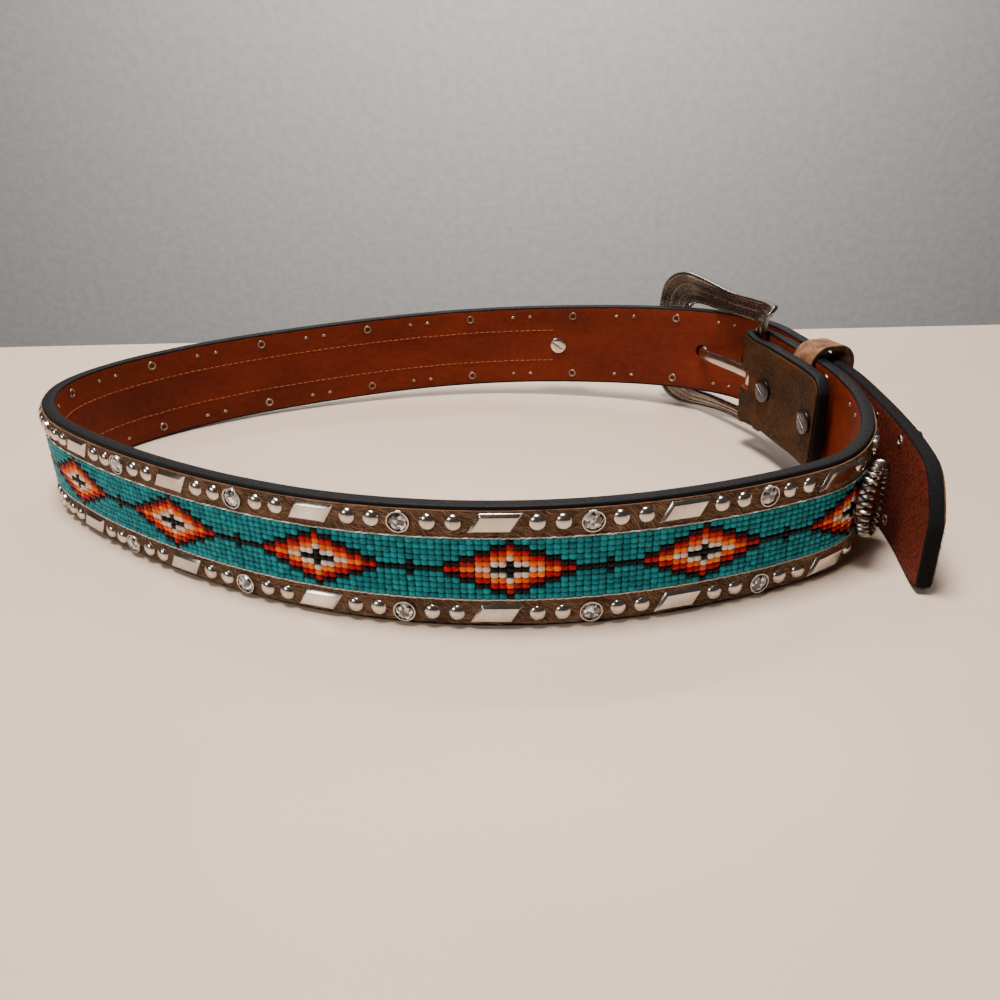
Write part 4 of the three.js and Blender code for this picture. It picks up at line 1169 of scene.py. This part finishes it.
ridge = begin("ridge", bpy.ops.mesh.primitive_uv_sphere_add, segments=10, ring_count=8, radius=1)
edit(ridge)
resize(1.5 * mm, 0.98 * mm, 2.5 * mm)
move(11.15 * mm, 0, 2.5 * mm)
done()
shape = get_points(ridge)
ridge_faces = [tuple(face.vertices) for face in ridge.data.polygons]
remove(ridge)
rim_points, rim_faces = [], []
for number in range(RIDGES):
    turn = 2 * math.pi * number / RIDGES
    cosine, sine = math.cos(turn), math.sin(turn)
    start = len(rim_points)
    rim_points += [(x * cosine - y * sine, x * sine + y * cosine, z) for x, y, z in shape]
    rim_faces += [tuple(i + start for i in face) for face in ridge_faces]
rim = mesh_piece("rim", rim_points, rim_faces)
print("rim:", len(rim_faces), "faces")

# %% Two conchos on the strap
use(rim)
disc.select_set(True)
bpy.context.view_layer.objects.active = disc
bpy.ops.object.join()
stand_up(disc)
points = get_points(disc)
low_down = np.clip(1 - (points[:, 1] - 0.4 * mm) / (2.6 * mm), 0, 1)
keep(disc, "hollow", low_down * (np.hypot(points[:, 0], points[:, 2]) < 11 * mm))
for index, station in enumerate(CONCHOS):
    ornament = duplicate(disc, "concho_ornament_%d" % (index + 1))
    points = get_points(ornament) + [0, CONCHO_SEAT, MIDDLE]
    set_points(ornament, points)
    seat(ornament, station)
    finish_piece(ornament, antique, replaces=["concho_%d" % (index + 1)], angle=40)
remove(disc)

# %% [markdown]
# ## Screws
#
# A slotted screw post closes behind each concho, and two larger ones hold the folded flap. The
# head is a short cylinder with a bevelled rim, and a thin box cuts its slot.


# %% A slotted head
def screw_head(name, radius, thick):
    head = begin(name, bpy.ops.mesh.primitive_cylinder_add, vertices=40, radius=radius, depth=thick)
    edit(head, faces=lambda centre, normal: normal.z > 0.9)
    bpy.ops.mesh.inset(thickness=radius * 0.3, depth=thick * 0.25)
    done()
    slot_tool = begin("slot tool", bpy.ops.mesh.primitive_cube_add, size=1)
    edit(slot_tool)
    resize(3 * radius, 0.9 * mm, 1.2 * mm)
    rotate(0.5, "Z")
    move(0, 0, thick * 0.75 + 0.3 * mm)
    done()
    modify(head, "BOOLEAN", operation="DIFFERENCE", object=slot_tool, solver="EXACT")
    modify(head, "BEVEL", width=0.14 * mm, segments=2, limit_method="ANGLE", angle_limit=math.radians(40))
    remove(slot_tool)
    return stand_up(head)


# %% Screws of the flap and behind the conchos
FLAP_SCREWS = (14.9 * mm, 45.6 * mm)
for index, station in enumerate(FLAP_SCREWS):
    head = screw_head("flap_screw_head_%d" % (index + 1), 4.6 * mm, 1.3 * mm)
    set_points(head, get_points(head) + [0, HIDE_FACE + 0.85 * mm, MIDDLE])
    seat(head, FOLD_START - station)
    finish_piece(head, dark_nickel, replaces=["flap_screw_%d" % (index + 1)])

for index, station in enumerate(CONCHOS):
    head = screw_head("concho_screw_head_%d" % (index + 1), 3.7 * mm, 0.9 * mm)
    set_points(head, get_points(head) * [1, -1, -1] + [0, INNER_FACE - 0.45 * mm, MIDDLE])
    seat(head, station)
    finish_piece(head, nickel, replaces=["concho_screw_%d" % (index + 1)])

# %% [markdown]
# ## Buckle
#
# The frame is cast: a bowed plate with a rolled rim outside and inside, hollow at the back with
# fine ridges. A section is carried round between two closed outlines, one at the opening and one
# at the rim. This is a loft, which no single operator makes, so its rings are joined in code.

# %% Outlines and section of the frame
# Columns: along, up and depth at the rim, then along, up and depth at the opening.
BUCKLE_ROWS = [
    (0, 0, 0, 0.056, 0, 0), (0, 0.4, 0, 0.056, 0.4, 0), (0, 0.71, 0, 0.056, 0.61, 0),
    (0, 0.79, 0.8, 0.066, 0.625, 0.5), (0.03, 0.84, 1.7, 0.1, 0.628, 1.5),
    (0.1, 0.85, 2.2, 0.15, 0.628, 2.2), (0.22, 0.85, 2.35, 0.24, 0.628, 2.35),
    (0.4, 0.85, 2.35, 0.38, 0.628, 2.35), (0.58, 0.91, 2.25, 0.54, 0.628, 2.3),
    (0.7, 0.955, 2.0, 0.63, 0.63, 2.2), (0.8, 0.975, 1.7, 0.71, 0.61, 2.15),
    (0.9, 0.9, 1.2, 0.76, 0.54, 2.1), (0.965, 0.73, 0.9, 0.78, 0.4, 2.1),
    (0.995, 0.4, 0.75, 0.79, 0.2, 2.1), (1.0, 0, 0.7, 0.79, 0, 2.1),
]
# Columns: place from the opening (0) to the rim (1), depth in thicknesses, how deep in a hollow.
FRAME_SECTION = [
    (0, 0.22, 0), (0.03, 0.42, 0), (0.1, 0.5, 0), (0.19, 0.47, 0), (0.23, 0.33, 0.8), (0.3, 0.28, 0.9),
    (0.5, 0.34, 0.3), (0.7, 0.28, 0.9), (0.77, 0.33, 0.8), (0.81, 0.47, 0), (0.88, 0.52, 0), (0.96, 0.44, 0),
    (1, 0.2, 0), (1, -0.3, 0), (0.97, -0.45, 0), (0.92, -0.5, 0), (0.87, -0.44, 0), (0.84, -0.34, 0.6),
    (0.8, -0.33, 0), (0.73, -0.37, 0), (0.69, -0.31, 0.6), (0.65, -0.36, 0), (0.55, -0.34, 0),
    (0.47, -0.36, 0), (0.43, -0.3, 0.6), (0.39, -0.35, 0), (0.3, -0.33, 0), (0.24, -0.34, 0.5),
    (0.2, -0.43, 0), (0.12, -0.5, 0), (0.04, -0.42, 0), (0, -0.22, 0),
]


def frame_outline(columns, per_span, drop):
    lower = [(row[columns[0]], -row[columns[1]], row[columns[2]]) for row in BUCKLE_ROWS[-2:0:-1]]
    rows = [tuple(row[c] for c in columns) for row in BUCKLE_ROWS] + lower
    knots = [Vector((a * BUCKLE_LENGTH, u * heel_middle - drop, d * BUCKLE_THICK)) for a, u, d in rows]
    return closed_curve(knots, per_span)


# %% Loft the frame
PER_SPAN = 8
rim_line = frame_outline((0, 1, 2), PER_SPAN, 0)
opening_line = frame_outline((3, 4, 5), PER_SPAN, OPENING_DROP)
points, hollows = [], []
for rim_spot, opening_spot in zip(rim_line, opening_line):
    for across, depth, hollow in FRAME_SECTION:
        spot = opening_spot.lerp(rim_spot, across)
        points.append(in_buckle(spot.x, spot.z + depth * BUCKLE_THICK, spot.y) + SHIFT)
        hollows.append(hollow)
ring_size = len(FRAME_SECTION)
faces = []
for i in range(len(rim_line)):
    near, far = i * ring_size, (i + 1) % len(rim_line) * ring_size
    for j in range(ring_size):
        k = (j + 1) % ring_size
        faces.append((near + j, near + k, far + k, far + j))
casting = mesh_piece("buckle_casting", points, faces)
keep(casting, "hollow", hollows)
edit(casting)
bpy.ops.mesh.normals_make_consistent(inside=False)
done()
finish_piece(casting, antique, replaces=["buckle_frame"], angle=60)

# %% The tongue, from its solid
tongue = duplicate(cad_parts["buckle_tongue"], "tongue_casting")
tongue.parent = None
edit(tongue)
bpy.ops.mesh.remove_doubles(threshold=0.01 * mm)
done()
modify(tongue, "BEVEL", width=0.22 * mm, segments=2, limit_method="ANGLE", angle_limit=math.radians(35))
finish_piece(tongue, nickel, replaces=["buckle_tongue"], angle=40)

# %% [markdown]
# ## Keeper
#
# The keeper is a narrow leather loop that holds the tip against the strap. It starts as a block,
# whose long edges are rounded. Its two open sides are inset, and the holes are bridged.

# %% Model the keeper
KEEPER_STATION = 28.6 * mm
KEEPER_BAND = 12 * mm
KEEPER_THICK = 1.8 * mm
low_side = INNER_FACE - 0.3 * mm
high_side = 1.02 * LAP_PITCH + 2.4 * mm + 1.9 * mm + 0.6 * mm
deep = high_side - low_side + 2 * KEEPER_THICK
tall = BELT_WIDTH + 2 * (2.2 * mm + KEEPER_THICK)

loop = begin("keeper_loop", bpy.ops.mesh.primitive_cube_add, size=1)
edit(loop)
resize(KEEPER_BAND, deep, tall)
done()
edit(loop, edges=lambda a, b: abs(a.x - b.x) > 1e-4)
bpy.ops.mesh.bevel(offset=7.4 * mm, segments=10)
done()
edit(loop, faces=lambda centre, normal: abs(normal.x) > 0.9)
bpy.ops.mesh.inset(thickness=KEEPER_THICK, use_individual=True)
bpy.ops.mesh.bridge_edge_loops()
done()
print("keeper faces:", len(loop.data.polygons))

# %% Finish the keeper
modify(loop, "BEVEL", width=0.4 * mm, segments=2, limit_method="ANGLE", angle_limit=math.radians(60))
points = get_points(loop)
keep(loop, "edge", KEEPER_BAND / 2 - np.abs(points[:, 0]))
set_points(loop, points + [0, (low_side + high_side) / 2, MIDDLE])
seat(loop, KEEPER_STATION)
finish_piece(loop, tan_leather, replaces=["keeper"])

# %% [markdown]
# ## Studio
#
# The belt stands on a plain pale table. The camera takes the photograph's place: a little above
# the table, looking down across the front of the loop. A soft light hangs over the table, and a
# pale wall with a light of its own stands well behind the table's far edge, so that the belt can
# be seen from behind too.

# %% Table and wall
table = begin("table", bpy.ops.mesh.primitive_plane_add, size=1)
edit(table)
resize(4, 2.1, 1)
move(0, -0.825, 0)
done()
table_top, tree, shader = new_material("table top", Roughness=0.28)
place = own_place(tree)
paint = mottled(tree, place, 3.0, (203, 179, 158), (211, 188, 168), 0.8)
drive(shader, "Base Color", paint.outputs["Color"])
table.data.materials.append(table_top)

wall = begin("wall", bpy.ops.mesh.primitive_plane_add, size=1)
edit(wall)
rotate(math.pi / 2, "X")
resize(7, 1, 3.2)
move(0, 1.6, 0.7)
done()
wall_paint, tree, shader = new_material("wall paint", Roughness=0.8)
place = own_place(tree)
paint = mottled(tree, place, 60.0, (171, 167, 167), (186, 182, 181), 0.7)
drive(shader, "Base Color", paint.outputs["Color"])
bump(tree, shader, paint.outputs["Share"], 0.2, 2 * mm)
wall.data.materials.append(wall_paint)

# %% Camera
PITCH = math.radians(24.96)
ROLL = math.radians(-1.3)
level = Vector((1, 0, 0))
rise = Vector((0, math.sin(PITCH), math.cos(PITCH)))
forward = Vector((0, math.cos(PITCH), -math.sin(PITCH)))
right = level * math.cos(ROLL) + rise * math.sin(ROLL)
upward = rise * math.cos(ROLL) - level * math.sin(ROLL)
camera_data = bpy.data.cameras.new("photo camera")
camera_data.lens = 30.7
camera_data.sensor_width = 36
camera_data.clip_start = 0.01
camera = link(bpy.data.objects.new("photo camera", camera_data))
turned = Matrix((right, upward, -forward)).transposed().to_4x4()
camera.matrix_world = Matrix.Translation(Vector((20.6, -315.4, 135.7)) * mm + SHIFT) @ turned
bpy.context.scene.camera = camera


# %% Lights
def soft_light(name, place, aim, size, power, colour):
    data = bpy.data.lights.new(name, "AREA")
    data.shape = "RECTANGLE"
    data.size, data.size_y = size
    data.energy = power
    data.color = colour
    light = link(bpy.data.objects.new(name, data))
    light.location = place
    light.rotation_euler = (Vector(aim) - Vector(place)).to_track_quat("-Z", "Y").to_euler()


soft_light("ceiling light", (-0.12, -0.05, 1.15), (0, 0.02, 0), (0.4, 0.32), 30, (1.0, 0.97, 0.93))
soft_light("window", (-1.0, -0.8, 0.7), (0, 0, 0.02), (0.5, 0.4), 7, (1.0, 0.97, 0.95))
soft_light("wall light", (0.1, 0.85, 1.0), (0, 1.6, -0.1), (1.2, 0.4), 25, (1.0, 0.97, 0.94))
world = bpy.data.worlds.new("room")
world.use_nodes = True
world.node_tree.nodes["Background"].inputs[0].default_value = (0.42, 0.39, 0.36, 1)
world.node_tree.nodes["Background"].inputs[1].default_value = 0.16
bpy.context.scene.world = world
